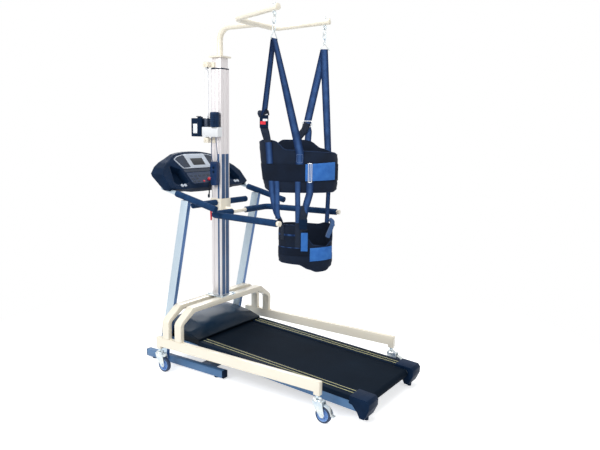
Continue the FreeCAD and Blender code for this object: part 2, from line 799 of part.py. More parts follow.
# Handset: hung on the near face of the column, with a key for up and for down
handset_face = -column_half - 4 - k.handset_depth
handset = new_body("handset_body")
collar_top = k.handrail_height - k.collar_drop + k.collar_height
half, low = k.handset_width / 2, collar_top + k.handset_rise
high = low + k.handset_height
pad(
    handset,
    sketch(handset, "XZ_Plane", loop([
        (-half + 8, low, 12), (half - 8, low, 12), (half, high - 46, 16), (half - 4, high, 14),
        (-half + 4, high, 14), (-half, high - 46, 16),
    ])),
    "handset_depth",
)
button_heights = (high - 42, high - 72)
wells = [
    Part.Circle(Vector(0, height, 0), Z_AXIS, k.handset_button_radius + k.running_clearance)
    for height in button_heights
]
pocket(handset, sketch(handset, "XZ_Plane", wells), "handset_depth - 8")
place(handset, "column_x", "-column_side / 2 - 4 - handset_depth / 2")
hook = Part.makeBox(30, 4, 60, COLUMN + Vector(-15, -column_half - 4, high - 90))
hook_piece = shape("handset_hook", hook)
handset_wells = shape("handset_wells", Part.makeCompound([
    bar(COLUMN + Vector(0, handset_face - 1, z), COLUMN + Vector(0, handset_face + 9, z),
        k.handset_button_radius + k.running_clearance)
    for z in button_heights
]))
node("handset", cut("handset", fuse("handset", [handset, hook_piece]), handset_wells))
for name, height in zip(("up_button", "down_button"), button_heights):
    face = COLUMN + Vector(0, handset_face, height)
    node(name, shape(name, bar(face + Y_AXIS * 5, face - Y_AXIS * 2, k.handset_button_radius)))

# Control cables: two leads that hang from the gear case to the handset
cable_radius = 2.5


def cord(points, radius):
    """A round lead along straight runs with wide tangent arcs."""
    edges, last, radii = [], points[0], []
    for before, corner, after in zip(points, points[1:], points[2:]):
        back, ahead = before - corner, after - corner
        short = min(back.Length, ahead.Length)
        half = back.getAngle(ahead) / 2
        bend = 0.45 * short * math.tan(half)
        radii.append(round(bend))
        back.normalize()
        ahead.normalize()
        reach = 0.45 * short
        middle = corner + (back + ahead).normalize() * (bend / math.sin(half) - bend)
        edges.append(Part.LineSegment(last, corner + back * reach))
        edges.append(Part.Arc(corner + back * reach, middle, corner + ahead * reach))
        last = corner + ahead * reach
    edges.append(Part.LineSegment(last, points[-1]))
    path = Part.Wire([edge.toShape() for edge in edges])
    ring = Part.Circle(points[0], points[1] - points[0], radius).toShape()
    solid = path.makePipeShell([Part.Wire(ring)], True, False)
    expected = math.pi * radius ** 2 * path.Length
    print("cord length", round(path.Length), "radii", radii, "volume ratio", round(solid.Volume / expected, 4))
    return solid


MOTOR_LEAD = [(38, -88, 1596), (39, -89, 1560), (42, -84, 1512), (41, -76, 1466), (30, -66, 1438), (20, -61, 1425)]
BOX_LEAD = [(-8, -80, 1596), (-9, -81, 1562), (-15, -78, 1514), (-20, -72, 1468), (-20, -65, 1440), (-18, -61, 1425)]
cables = [cord([COLUMN + Vector(*point) for point in lead], cable_radius) for lead in (MOTOR_LEAD, BOX_LEAD)]
node("control_cables", shape("control_cables", Part.makeCompound(cables)))

# Handrail collar: a square sleeve that slides on the column, with the cross bar
# and the short tube to the handrail welded on
cross_bar_height = k.handrail_height + k.cross_bar_rise
lever_height = k.handrail_height - k.lever_drop
sleeve = square_tube(
    "sleeve", "XY_Plane", "collar_side", "collar_side",
    "((collar_side - column_side) / 2 - slide_clearance)", "collar_height",
)
place(sleeve, "column_x", "0", "handrail_height - collar_drop")
cross_bars = []
for side, sign in SIDES:
    start = COLUMN + Vector(0, sign * (k.collar_side / 2 - 1), cross_bar_height)
    stop = COLUMN + Vector(0, sign * k.cross_bar_half_length, cross_bar_height)
    cross_bars.append(shape(side + "_cross_bar", bar(start, stop, k.cross_bar_radius)))
handrail_path = [
    COLUMN + Vector(k.handrail_end_x, -k.handrail_end_half_width, k.handrail_height),
    COLUMN + Vector(k.handrail_x, -k.handrail_half_width, k.handrail_height),
    COLUMN + Vector(k.handrail_x, k.handrail_half_width, k.handrail_height),
    COLUMN + Vector(k.handrail_end_x, k.handrail_end_half_width, k.handrail_height),
]
link_start = COLUMN + Vector(k.collar_side / 2 - 1, 0, k.handrail_height)
link_stop = COLUMN + Vector(k.handrail_x - k.handrail_radius, 0, k.handrail_height)
link = shape("link_tube", bar(link_start, link_stop, k.handrail_radius))
screw_radius = 5
screw = COLUMN + Vector(k.lever_x, k.lever_y, lever_height)
screw_hole = shape(
    "screw_hole", bar(screw, COLUMN + Vector(-40, k.lever_y, lever_height), screw_radius + 0.3)
)
collar = fuse("collar", [sleeve, link] + cross_bars)
node("handrail_collar", cut("collar", collar, screw_hole))

# Clamp lever: a red handle on the screw that locks the collar to the column
hub = bar(screw - X_AXIS * 8, screw + X_AXIS * 9, 11)
thread = bar(screw, COLUMN + Vector(-column_half - 1.2, k.lever_y, lever_height), screw_radius)
handle = Part.makeCone(8, 5.5, k.lever_length, screw, Vector(0, 0, -1))
node("clamp_lever", shape("clamp_lever", hub.fuse([thread, handle])))

# U handrail: one bent round tube at hip height, closed at its ends
handrail = bent_tube(
    handrail_path, k.handrail_bend_radius, k.handrail_radius, k.handrail_radius - k.tube_wall
)
for tip, inward in ((handrail_path[0], handrail_path[1]), (handrail_path[-1], handrail_path[-2])):
    outward = (tip - inward).normalize()
    cap = bar(tip - outward * 12, tip + outward * 6, k.handrail_radius + 2.5)
    handrail = handrail.fuse(cap)
node("u_handrail", shape("u_handrail", handrail.removeSplitter()))

# Foam grips on the handrail and on the cross bar
foam_bore = k.handrail_radius + k.running_clearance
near_stop, far_start = -102, 42
foams = []
for tip, corner, stop_y in (
    (handrail_path[0], handrail_path[1], near_stop), (handrail_path[3], handrail_path[2], far_start)
):
    along = (corner - tip).normalize()
    route = [tip + along * 16, corner, Vector(corner.x, stop_y, corner.z)]
    foams.append(bent_tube(route, k.handrail_bend_radius, k.foam_radius, foam_bore))
for side, sign in SIDES:
    start = COLUMN + Vector(0, sign * (k.collar_side / 2 + 0.5), cross_bar_height)
    stop = COLUMN + Vector(0, sign * (k.cross_bar_half_length + 6), cross_bar_height)
    sleeve_foam = bar(start, stop, k.foam_radius + 0.5)
    hollow = bar(
        start, COLUMN + Vector(0, sign * (k.cross_bar_half_length + 0.3), cross_bar_height),
        k.cross_bar_radius + k.running_clearance,
    )
    foams.append(sleeve_foam.cut(hollow))
node("rail_foams", shape("rail_foams", Part.makeCompound(foams)))

# Treadmill base: two floor tubes joined by a cross tube
foot_front = "-overall_length / 2"
feet = []
for side, sign in SIDES:
    foot = square_tube(side + "_foot", "YZ_Plane", "foot_width", "foot_height", "tube_wall", "foot_length")
    place(foot, "-overall_length / 2 + 4", ("-" if sign < 0 else "") + "foot_half_track",
          "foot_clearance + foot_height / 2")
    feet.append(foot)
cross_tube = square_tube(
    "cross_tube", "XZ_Plane", "70", "foot_height - 8", "tube_wall", "2 * foot_half_track - foot_width"
)
place(cross_tube, "column_x + 130", "foot_half_track - foot_width / 2", "foot_clearance + foot_height / 2")
node("base_frame", fuse("base_frame", feet + [cross_tube]))

# Foot caps: moulded ends pushed into the floor tubes, and round pads below
foot_caps = []
foot_x = (-k.overall_length / 2, -k.overall_length / 2 + 4 + k.foot_length)
middle_z = k.foot_clearance + k.foot_height / 2
for side, sign in SIDES:
    y = sign * k.foot_half_track
    for end_x, outward in ((foot_x[0] + 4, -1), (foot_x[1], 1)):
        depth = 4 if outward < 0 else 14
        cover = Part.makeBox(
            depth, k.foot_width, k.foot_height,
            Vector(min(end_x, end_x + outward * depth), y - k.foot_width / 2, k.foot_clearance),
        )
        tongue_y, tongue_z = k.foot_width - 2 * k.tube_wall - 0.6, k.foot_height - 2 * k.tube_wall - 0.6
        tongue = Part.makeBox(
            20, tongue_y, tongue_z,
            Vector(min(end_x, end_x - outward * 20), y - tongue_y / 2, middle_z - tongue_z / 2),
        )
        foot_caps.append(cover.fuse(tongue))
        pad_x = end_x - outward * 62
        foot_caps.append(bar(Vector(pad_x, y, 0), Vector(pad_x, y, k.foot_clearance), k.pad_radius))
deck_place = Placement(COLUMN + Vector(k.deck_start, 0, k.deck_height), Rotation(Y_AXIS, k.deck_slope))
rear_foot_x = k.deck_length - 39
for side, sign in SIDES:
    y = sign * (k.rear_cap_half_width - 62)
    foot = bar(Vector(rear_foot_x, y, -200), Vector(rear_foot_x, y, k.rear_cap_bottom - 0.3), 13)
    foot.Placement = deck_place
    at = deck_place.multVec(Vector(rear_foot_x, y, 0))
    ground = Part.makeBox(200, 200, 200, Vector(at.x - 100, at.y - 100, -200))
    foot_caps.append(foot.cut(ground))
node("foot_caps", shape("foot_caps", Part.makeCompound(foot_caps)))

# Uprights: rectangular steel tubes bolted to the floor tubes, leaning back
lean = (k.upright_top_x - k.upright_bottom_x) / (k.upright_top - 59)


def upright_outline(inset, over):
    """The upright's side view, or its hollow when inset by the wall."""
    low, high = 14 - over, k.upright_top + over
    width = k.upright_depth / 2 - inset
    x_low = k.column_x + k.upright_bottom_x + (low - 59) * lean
    x_high = k.column_x + k.upright_bottom_x + (high - 59) * lean
    return [(x_low - width, low, 0), (x_low + width, low, 0), (x_high + width, high, 0), (x_high - width, high, 0)]


upright = profile_body(
    "upright", "XZ_Plane", upright_outline(0, 0), "upright_thickness",
    upright_outline(k.tube_wall, 2), "upright_thickness - 2 * tube_wall",
)
place(upright, y="-(foot_half_track + foot_width / 2 + upright_thickness / 2)")
uprights = mirrored("uprights", upright)
upright_inner = k.foot_half_track + k.foot_width / 2
pivot = deck_place.multVec(Vector(-262, 0, -58))
pivot_radius = 9
pivot_hole = shape("pivot_hole", bar(
    Vector(pivot.x, -500, pivot.z), Vector(pivot.x, 500, pivot.z), pivot_radius + k.running_clearance
))

# Handlebars: round tubes that run back from the console over the uprights
bar_paths = []
for side, sign in SIDES:
    y = sign * k.handlebar_half_track
    bar_paths.append((
        COLUMN + Vector(k.handlebar_front_x, y, k.handlebar_front_height),
        COLUMN + Vector(k.handlebar_end_x, y, k.handlebar_end_height),
    ))
bar_room = shape("handlebar_room", Part.makeCompound(
    [bar(start, stop, k.handlebar_radius + k.running_clearance) for start, stop in bar_paths]
))
node("uprights", cut("uprights_bored", cut("uprights", uprights, pivot_hole), bar_room))
node("handlebars", shape("handlebars", Part.makeCompound(
    [bar(start, stop, k.handlebar_radius) for start, stop in bar_paths]
)))
upright_room = profile_body("upright_room", "XZ_Plane", upright_outline(-k.running_clearance, 1), "900")
handlebar_foams = []
for start, stop in bar_paths:
    along = (stop - start).normalize()
    begin = start + along * ((k.handlebar_foam_start - k.handlebar_front_x) / along.x)
    foam = bar(begin, stop + along * 6, k.handlebar_foam_radius)
    handlebar_foams.append(foam.cut(bar(start, stop + along * 0.3, k.handlebar_radius + k.running_clearance)))
foam_pair = shape("handlebar_foam_pair", Part.makeCompound(handlebar_foams))
node("handlebar_foams", cut("handlebar_foams", foam_pair, upright_room))

# Console: a winged moulding across the handlebars, lofted from side views. Its
# face is one slope, its top arches from wing to wing, and each wing has a tray.
face_at = COLUMN + Vector(k.console_face_x, 0, k.console_face_height)
face_place = Placement(face_at, Rotation(Y_AXIS, -k.console_face_tilt))
face_slope = math.tan(math.radians(k.console_face_tilt))
console_sections = []
for share, low, top, back, back_top, bottom in (
    (0, 0, 238, 236, 241, -33), (0.192, 0, 236, 236, 239, -33), (0.333, 0, 231, 235, 234, -32),
    (0.473, 0, 221, 232, 224, -31), (0.644, 0, 188, 226, 193, -22), (0.779, 0, 165, 220, 172, -21),
    (0.91, 6, 132, 211, 142, -18), (1, 17, 92, 202, 99, -9),
):
    console_sections.append((share, [
        (-low * face_slope, low), (-top * face_slope, top), (-back, back_top), (10 - back, 80),
        (-80, bottom + 2), (-34, bottom),
    ]))


def console_wire(share, points):
    """A side view of the console at a share of its half width."""
    corners = [face_at + Vector(x, share * k.console_half_width, z) for x, z in points]
    return Part.makePolygon(corners + corners[:1])


wires = [console_wire(-share, points) for share, points in reversed(console_sections)]
wires += [console_wire(share, points) for share, points in console_sections[1:]]
console = Part.makeLoft(wires, True, True)
for start, stop in bar_paths:
    console = console.cut(bar(start, stop, k.handlebar_radius + k.running_clearance))


def on_face(solid):
    """Move a solid drawn upright, facing +X, onto the tilted console face."""
    solid.Placement = face_place.multiply(solid.Placement)
    return solid


def face_plate(outline, depth, start=0.3):
    """A plate on the console face, from its outline across and up the face."""
    solid = Part.Face(Part.Wire([edge.toShape() for edge in loop(outline)])).extrude(Vector(0, 0, depth))
    solid.Placement = Placement(Vector(start, 0, 0), Rotation(Y_AXIS, Z_AXIS, X_AXIS))
    return solid


def face_window(half_width, low, high, corner):
    """The outline of a level window on the console face, with rounded corners."""
    return [
        (-half_width, low, corner), (half_width, low, corner), (half_width, high, corner),
        (-half_width, high, corner),
    ]


tray_depth = 55
tray_outline = [(345, 62, 14), (292, 205, 14), (214, 165, 10), (206, 48, 14), (330, 38, 14)]
for sign in (-1, 1):
    outline = [(sign * across, up, corner) for across, up, corner in tray_outline]
    console = console.cut(on_face(face_plate(outline, tray_depth + 5, -tray_depth)))
stop_at, key_at = (-57, 51), (1, 62)
button_well = Part.makeCylinder(
    k.stop_button_radius + k.running_clearance, 9, Vector(-7, stop_at[0], stop_at[1]), X_AXIS
)
node("console_housing", shape("console_housing", console.cut(on_face(button_well))))
fascia_depth, screen_low = 4, 194
bezel = face_plate([
    (-184, 168, 10), (184, 168, 10), (222, 256, 14), (178, 280, 40), (92, 298, 60),
    (-92, 298, 60), (-178, 280, 40), (-222, 256, 14),
], fascia_depth)
window = face_plate(face_window(
    k.screen_width / 2 + k.running_clearance, screen_low, screen_low + k.screen_height, 3
), 3 * fascia_depth, -fascia_depth)
node("console_fascia", shape("console_fascia", on_face(bezel.cut(window))))
screen = face_plate(face_window(
    k.screen_width / 2, screen_low + 0.3, screen_low + k.screen_height - 0.3, 3
), fascia_depth - 1)
node("display_screen", shape("display_screen", on_face(screen)))
stop_button = Part.makeCylinder(k.stop_button_radius, 6, Vector(-3, stop_at[0], stop_at[1]), X_AXIS)
node("stop_button", shape("stop_button", on_face(stop_button)))
safety_key = Part.makeCylinder(k.safety_key_radius, 12, Vector(0.3, key_at[0], key_at[1]), X_AXIS)
safety_key = on_face(safety_key)
key_middle = safety_key.CenterOfMass
down_face = face_place.Rotation.multVec(Vector(0, 0, -1))
node("safety_key", shape("safety_key", safety_key))

# Safety tether: webbing that hangs from the key, with a clothes clip
tether = [
    key_middle + down_face * (k.safety_key_radius + k.running_clearance),
    key_middle + down_face * (k.safety_key_radius + 10),
    face_at + Vector(8, -53, -5), face_at + Vector(12, -54, -40), face_at + Vector(12, -60, -59),
]


def ribbon(points, across, width, thickness):
    """A flat strap through a few points, as straight lengths that share their joints."""
    across = Vector(across).normalize()
    solids = []
    for start, stop in zip(points, points[1:]):
        along = (stop - start).normalize()
        side = (across - along * across.dot(along)).normalize()
        thin = along.cross(side)
        corner = [
            start + side * (a * width / 2) + thin * (b * thickness / 2)
            for a, b in ((-1, -1), (1, -1), (1, 1), (-1, 1))
        ]
        solids.append(Part.Face(Part.makePolygon(corner + corner[:1])).extrude(stop - start))
    joined = solids[0]
    return joined.fuse(solids[1:]) if len(solids) > 1 else joined


clip = Part.makeBox(9, 15, 24, face_at + Vector(7.5, -67, -77))
strap_solid = ribbon(tether, Y_AXIS, 12, 2.5).fuse(clip)
node("safety_tether", shape("safety_tether", strap_solid))

# Running deck: steel side beams with cross members, a board, the belt round
# two rollers, moulded side rails and end caps, all on the deck's slope
roller_z = -(k.belt_drop + k.belt_thickness + k.roller_radius)
front_x, rear_x = -k.front_roller_setback, k.deck_length - k.rear_roller_inset - 30
beam_top = -(k.belt_drop + k.belt_thickness + k.running_clearance + k.board_thickness)
beam_outer = k.deck_half_width - k.side_rail_wall - k.running_clearance
beam_inner = beam_outer - k.beam_width
beam_front, beam_rear = -330, k.deck_length - 40
frame_parts = []
for sign in (-1, 1):
    for inset in (0, k.beam_wall):
        beam = Part.makeBox(
            beam_rear - beam_front + 2 * min(inset, 1), k.beam_width - 2 * inset, k.beam_height - 2 * inset,
            Vector(beam_front - min(inset, 1), -beam_outer + inset, beam_top - k.beam_height + inset),
        )
        if sign > 0:
            beam.translate(Vector(0, 2 * beam_outer - k.beam_width, 0))
        frame_parts.append(beam)
deck_frame = frame_parts[0].cut(frame_parts[1]).fuse(frame_parts[2].cut(frame_parts[3]))
belt_under = roller_z - k.roller_radius - k.belt_thickness
for x in (beam_front, 260, 760, beam_rear - k.rear_member_inset):
    member = Part.makeBox(50, 2 * beam_inner + 4, 16, Vector(x, -beam_inner - 2, belt_under - 18))
    deck_frame = deck_frame.fuse(member)
motor_radius, motor_x = 38, -240
tray_z = beam_top - k.beam_height + 4.5
tray = Part.makeBox(90, 2 * beam_inner + 4, 4, Vector(motor_x - 45, -beam_inner - 2, tray_z - 4.3))
deck_frame = deck_frame.fuse(tray)
for sign in (-1, 1):
    inner_y, outer_y = sign * beam_inner, sign * (upright_inner + k.upright_thickness + 3)
    bolt = bar(Vector(-262, inner_y, -58), Vector(-262, outer_y, -58), pivot_radius)
    head = bar(Vector(-262, outer_y, -58), Vector(-262, sign * (abs(outer_y) + 8), -58), 16)
    deck_frame = deck_frame.fuse([bolt, head])
shaft_room = [
    bar(Vector(x, -beam_outer - 5, roller_z), Vector(x, beam_outer + 5, roller_z),
        k.roller_shaft_radius + k.running_clearance)
    for x in (front_x, rear_x)
]
for room in shaft_room:
    deck_frame = deck_frame.cut(room)
node("deck_frame", on_deck(shape("deck_frame", deck_frame)))

drive_motor = bar(
    Vector(motor_x, -150, tray_z + motor_radius), Vector(motor_x, 40, tray_z + motor_radius), motor_radius
)
pulley = bar(Vector(motor_x, -190, tray_z + motor_radius), Vector(motor_x, -149, tray_z + motor_radius), 17)
node("drive_motor", on_deck(shape("drive_motor", drive_motor.fuse(pulley))))

board_half = beam_inner + 20
board_front, board_rear = front_x + k.drive_pulley_radius + 4, rear_x - k.roller_radius - 6
board = Part.makeBox(
    board_rear - board_front, 2 * board_half, k.board_thickness, Vector(board_front, -board_half, beam_top)
)
node("deck_board", on_deck(shape("deck_board", board)))

for name, x in (("front_roller", front_x), ("rear_roller", rear_x)):
    drum = bar(Vector(x, -k.belt_width / 2 - 6, roller_z), Vector(x, k.belt_width / 2 + 6, roller_z), k.roller_radius)
    shaft = bar(
        Vector(x, -beam_inner - 30, roller_z), Vector(x, beam_inner + 30, roller_z), k.roller_shaft_radius
    )
    solid = drum.fuse(shaft)
    if name == "front_roller":
        solid = solid.fuse(bar(
            Vector(x, -k.belt_width / 2 - 22, roller_z), Vector(x, -k.belt_width / 2 - 5, roller_z),
            k.drive_pulley_radius,
        ))
    node(name, on_deck(shape(name, solid)))


def belt_loop(radius, width):
    """The space inside a loop of the belt round both rollers."""
    outline = [
        (front_x - radius, roller_z - radius, radius), (rear_x + radius, roller_z - radius, radius),
        (rear_x + radius, roller_z + radius, radius), (front_x - radius, roller_z + radius, radius),
    ]
    return slab(
        [(x, z, r * 0.999) for x, z, r in outline], width, Vector(0, 0, 0)
    )


belt_inner_radius = k.roller_radius + k.running_clearance
running_belt = belt_loop(belt_inner_radius + k.belt_thickness - 0.6, k.belt_width).cut(
    belt_loop(belt_inner_radius, k.belt_width + 10)
)
node("running_belt", on_deck(shape("running_belt", running_belt)))

# Side rails: moulded covers over the beams, a walker's foot wide
half, wall = k.deck_half_width, k.side_rail_wall
lip = k.belt_width / 2 + 7
rail_cover = new_body("rail_cover")
pad(rail_cover, sketch(rail_cover, "YZ_Plane", loop([
    (half, -k.side_rail_skirt, 0), (half, 0, 7), (lip + 8, 0, 6), (lip, -k.belt_drop, 0),
    (lip + wall, -k.belt_drop, 0), (lip + 8 + wall / 2, -wall, 2), (half - wall, -wall, 3),
    (half - wall, -k.side_rail_skirt, 0),
])), "deck_length - rear_cap_length - 28", False)
side_rail_pair = mirrored("side_rails", rail_cover)
rail_cover.setExpression("Placement.Base.x", "28")
node("side_rails", on_deck(side_rail_pair))

# Rear end caps: bevelled mouldings over the beam ends, with a foot below
cap_front, cap_rear = k.deck_length - k.rear_cap_length, k.deck_length
cap_half_depth = (k.rear_cap_half_width - lip) / 2
cap_outline = [
    (cap_front, 6, 3), (cap_rear - 16, 5, 6), (cap_rear, -14, 8), (cap_rear, -52, 8),
    (cap_rear - 24, k.rear_cap_bottom, 6), (cap_rear - 54, k.rear_cap_bottom, 6), (cap_rear - 70, -84, 6),
    (cap_front + 22, -44, 6), (cap_front, -42, 3),
]
end_cap = slab(cap_outline, 2 * cap_half_depth, Vector(0, -(lip + cap_half_depth), 0))
beam_room = Part.makeBox(
    400, k.beam_width + 2 * k.running_clearance, k.beam_height + 2 * k.running_clearance,
    Vector(beam_rear - 400 + k.running_clearance, -beam_outer - k.running_clearance,
           beam_top - k.beam_height - k.running_clearance),
)
rail_room = Part.makeBox(400, 200, 60, Vector(cap_front - 400, -half - 20, -60))
board_room = Part.makeBox(
    400, 100, k.board_thickness + 4, Vector(rear_x - k.roller_radius - 6 - 400, -board_half - 1, beam_top - 2)
)
drum_room = bar(
    Vector(rear_x, -k.belt_width / 2 - 8, roller_z), Vector(rear_x, 0, roller_z), k.roller_radius + 4
)
shaft_channel = bar(
    Vector(rear_x, -beam_outer, roller_z), Vector(rear_x, 0, roller_z), k.roller_shaft_radius + 1
)
for room in (beam_room, board_room, drum_room, shaft_channel):
    end_cap = end_cap.cut(room)
cap_twin = end_cap.mirror(Vector(0, 0, 0), Y_AXIS)
node("rear_end_caps", on_deck(shape("rear_end_caps", Part.makeCompound([end_cap, cap_twin]))))

# Motor hood: a crowned moulding over the drive, with a slot for the belt


def hood_section(x, crown, shoulder, inset):
    """One cross section of the hood: flat sides, sloping shoulders, crowned top."""
    side = k.hood_half_width - inset
    low = beam_top + k.running_clearance - (10 if inset else 0)
    top, edge = crown - inset, shoulder - inset
    points = [
        (side, low), (side, edge), (side * 0.62, edge + (top - edge) * 0.78), (side * 0.25, top),
        (-side * 0.25, top), (-side * 0.62, edge + (top - edge) * 0.78), (-side, edge), (-side, low),
    ]
    corners = [Vector(x, y, z) for y, z in points]
    return Part.makePolygon(corners + corners[:1])


def hood_loft(inset):
    rear = 26
    stations = (
        (rear - k.hood_length + inset, 62, 34), (rear - k.hood_length + 40, 92, 48),
        (rear - 0.62 * k.hood_length, 98, 48), (rear - 0.25 * k.hood_length, 66, 32),
        (rear - inset, 16, 10),
    )
    return Part.makeLoft([hood_section(x, crown, side, inset) for x, crown, side in stations], True, True)


hood = hood_loft(0).cut(hood_loft(k.hood_wall))
belt_slot = Part.makeBox(
    60, k.belt_width + 12, k.belt_drop + 14, Vector(-20, -k.belt_width / 2 - 6, -k.belt_drop - 8)
)
board_slot = Part.makeBox(60, 2 * board_half + 6, 40, Vector(-20, -board_half - 3, -k.belt_drop - 38))
node("motor_hood", on_deck(shape("motor_hood", hood.cut(belt_slot).cut(board_slot))))

# Harness: hangs from the eye bolts, turned a little on its chains
turn = math.radians(k.harness_turn)
long_way = Vector(math.cos(turn), math.sin(turn), 0)
short_way = Vector(-math.sin(turn), math.cos(turn), 0)
harness = COLUMN + Vector(k.harness_x, 0, 0)


def at_harness(along, across, height):
    """A point by its place along and across the harness, and its height."""
    return harness + long_way * along + short_way * across + Vector(0, 0, height)


def oval_link(centre, length, width, wire, flat_axis):
    """A chain link standing upright, with its flat side facing an axis."""
    side_way = Vector(0, 0, 1).cross(flat_axis)
    reach, half = length / 2 - width / 2, width / 2
    up = Vector(0, 0, 1)
    corners = [centre + up * reach + side_way * half, centre + up * reach - side_way * half,
               centre - up * reach - side_way * half, centre - up * reach + side_way * half]
    edges = [
        Part.Arc(corners[0], centre + up * (reach + half), corners[1]),
        Part.LineSegment(corners[1], corners[2]),
        Part.Arc(corners[2], centre - up * (reach + half), corners[3]),
        Part.LineSegment(corners[3], corners[0]),
    ]
    path = Part.Wire([edge.toShape() for edge in edges])
    ring = Part.Circle(corners[3], up, wire).toShape()
    return path.makePipeShell([Part.Wire(ring)], True, False)


wire, gap = k.ring_wire, k.running_clearance
link_top = hooks[0].z - eye_drop - (eye_radius - eye_wire - wire) + gap
chains, bases = [], []
for hook, lengths, base_way in ((hooks[0], (50, 50), Y_AXIS), (hooks[1], (44, 36, 36), long_way)):
    top, flat = link_top, X_AXIS
    for number, length in enumerate(lengths):
        width = 30 if number == 0 else 19
        chains.append(oval_link(Vector(hook.x, hook.y, top - length / 2), length, width, wire, flat))
        top += 2 * wire + gap - length
        flat = Y_AXIS if flat == X_AXIS else X_AXIS
    base = Vector(hook.x, hook.y, k.triangle_height)
    reach = base_way * (k.strap_width / 2 + 10)
    triangle = [base - reach, base + reach, Vector(hook.x, hook.y, top)]
    legs = [bar(start, stop, wire) for start, stop in zip(triangle, triangle[1:] + triangle[:1])]
    chains.append(legs[0].fuse(legs[1:] + [Part.makeSphere(wire, corner) for corner in triangle]))
    bases.append((base, base_way))
node("hook_chains", shape("hook_chains", Part.makeCompound(chains)))


def oval_wall(centre, half_length, half_depth, thickness, low, high):
    """An upright oval band, turned with the harness."""
    placement = Placement(centre + Vector(0, 0, low), Rotation(Z_AXIS, k.harness_turn))
    outer = Part.Face(Part.Wire(Part.Ellipse(Vector(0, 0, 0), half_length, half_depth).toShape()))
    inner = Part.Face(
        Part.Wire(Part.Ellipse(Vector(0, 0, 0), half_length - thickness, half_depth - thickness).toShape())
    )
    band = outer.cut(inner).extrude(Vector(0, 0, high - low))
    band.Placement = placement
    return band


def outline_block(outline, near, far):
    """An outline drawn along the harness and up, made solid across it."""
    face = Part.Face(Part.Wire([edge.toShape() for edge in loop(outline)]))
    solid = face.extrude(Vector(0, 0, far - near))
    frame = Rotation(long_way, Z_AXIS, Vector(0, 0, 0) - short_way)
    solid.Placement = Placement(harness + short_way * far, frame)
    return solid


def strap(start, start_way, stop, stop_way, width, grow=0.0):
    """A webbing strap between two points, which may twist on its way."""
    along = (stop - start).normalize()
    half_width, half_thick = width / 2 + grow, k.strap_thickness / 2 + grow
    wires = []
    for point, way in ((start - along * grow, start_way), (stop + along * grow, stop_way)):
        side = (way - along * way.dot(along)).normalize()
        thin = along.cross(side)
        corners = [
            point + side * (a * half_width) + thin * (b * half_thick)
            for a, b in ((-1, -1), (1, -1), (1, 1), (-1, 1))
        ]
        wires.append(Part.makePolygon(corners + corners[:1]))
    return Part.makeLoft(wires, True, True)


def wrap(base, way, width):
    """Webbing that passes over a ring's bottom bar."""
    inner, outer = wire + gap, wire + gap + k.strap_thickness + 0.6
    sleeve = bar(base - way * (width / 2 + 0.5), base + way * (width / 2 + 0.5), outer)
    hollow = bar(base - way * width, base + way * width, inner)
    lower = Part.makeBox(200, 200, 100, base - Vector(100, 100, 101.5))
    return sleeve.cut(hollow).cut(lower)


def wall_place(wall, along, side, height):
    """A place in the webbing sewn outside an oval band, and its direction there."""
    offset, half_length, half_depth = wall
    half_length += gap + k.strap_thickness / 2
    half_depth += gap + k.strap_thickness / 2
    share = (along - offset) / half_length
    root = math.sqrt(1 - share * share)
    point = at_harness(along, side * half_depth * root, height)
    way = long_way * (half_length * root) - short_way * (side * half_depth * share)
    return point, way.normalize()


def sewn(wall, along, side, width, low, high):
    """Webbing sewn flat on the outside of an oval band."""
    offset, half_length, half_depth = wall
    grow = gap + k.strap_thickness
    ring = oval_wall(
        harness + long_way * offset, half_length + grow, half_depth + grow, k.strap_thickness, low, high
    )
    left, right = along - width / 2, along + width / 2
    outline = [(left, low - 5, 0), (right, low - 5, 0), (right, high + 5, 0), (left, high + 5, 0)]
    return ring.common(outline_block(outline, min(0, side * 400), max(0, side * 400)))


# Vest: a padded wrap that is high at the chest and closed with a wide belt
near_panel = [
    (-270, 1548, 20), (-246, k.vest_top, 22), (-156, k.vest_top, 18), (-80, 1526, 30), (60, 1520, 40),
    (220, 1512, 30), (270, 1500, 0), (270, 1290, 0), (228, k.vest_bottom, 30), (-204, k.vest_bottom, 30),
    (-270, 1300, 20),
]
far_panel = [
    (-270, 1500, 0), (-180, 1500, 30), (-108, k.vest_top, 30), (56, k.vest_top, 30), (156, 1530, 30),
    (270, 1500, 0), (270, 1290, 0), (228, k.vest_bottom, 30), (-228, k.vest_bottom, 30), (-270, 1300, 0),
]
vest_wall = oval_wall(
    harness, k.vest_half_length, k.vest_half_depth, k.vest_thickness, k.vest_bottom - 10, k.vest_top + 10
)
vest = vest_wall.common(outline_block(near_panel, -400, 0)).fuse(
    vest_wall.common(outline_block(far_panel, 0, 400))
)
belt_band = oval_wall(
    harness, k.vest_half_length + 4, k.vest_half_depth + 4, 6, k.belt_low, k.belt_high
)
node("harness_vest", shape("harness_vest", vest.fuse(belt_band).removeSplitter()))


# Suspension straps: webbing that passes over each ring and down both ways to
# the vest, where it is sewn on; two of the four have an adjusting buckle
vest_wall_size = (0, k.vest_half_length, k.vest_half_depth)
width = k.strap_width
side_step = wire + gap + k.strap_thickness / 2 + 0.3
near_base, far_base = bases[0][0], bases[1][0]
near_way, far_way = bases[0][1], bases[1][1]
belt_top = k.belt_high + 1
sewn_a, way_a = wall_place(vest_wall_size, -188, -1, 1568)
sewn_b, way_b = wall_place(vest_wall_size, 10, -1, 1508)
sewn_c, way_c = wall_place(vest_wall_size, 62, 1, 1568)
sewn_d, way_d = wall_place(vest_wall_size, 196, 1, 1500)
buckle_a = at_harness(-216, -112, 1700)
buckle_c = at_harness(56, 152, 1692)
upper_a = (near_base - X_AXIS * side_step, near_way, buckle_a + Vector(0, 0, 34), short_way, width)
lower_a = (buckle_a - Vector(0, 0, 22), long_way, sewn_a, way_a, width)
strap_b = (near_base + X_AXIS * side_step, near_way, sewn_b, way_b, width)
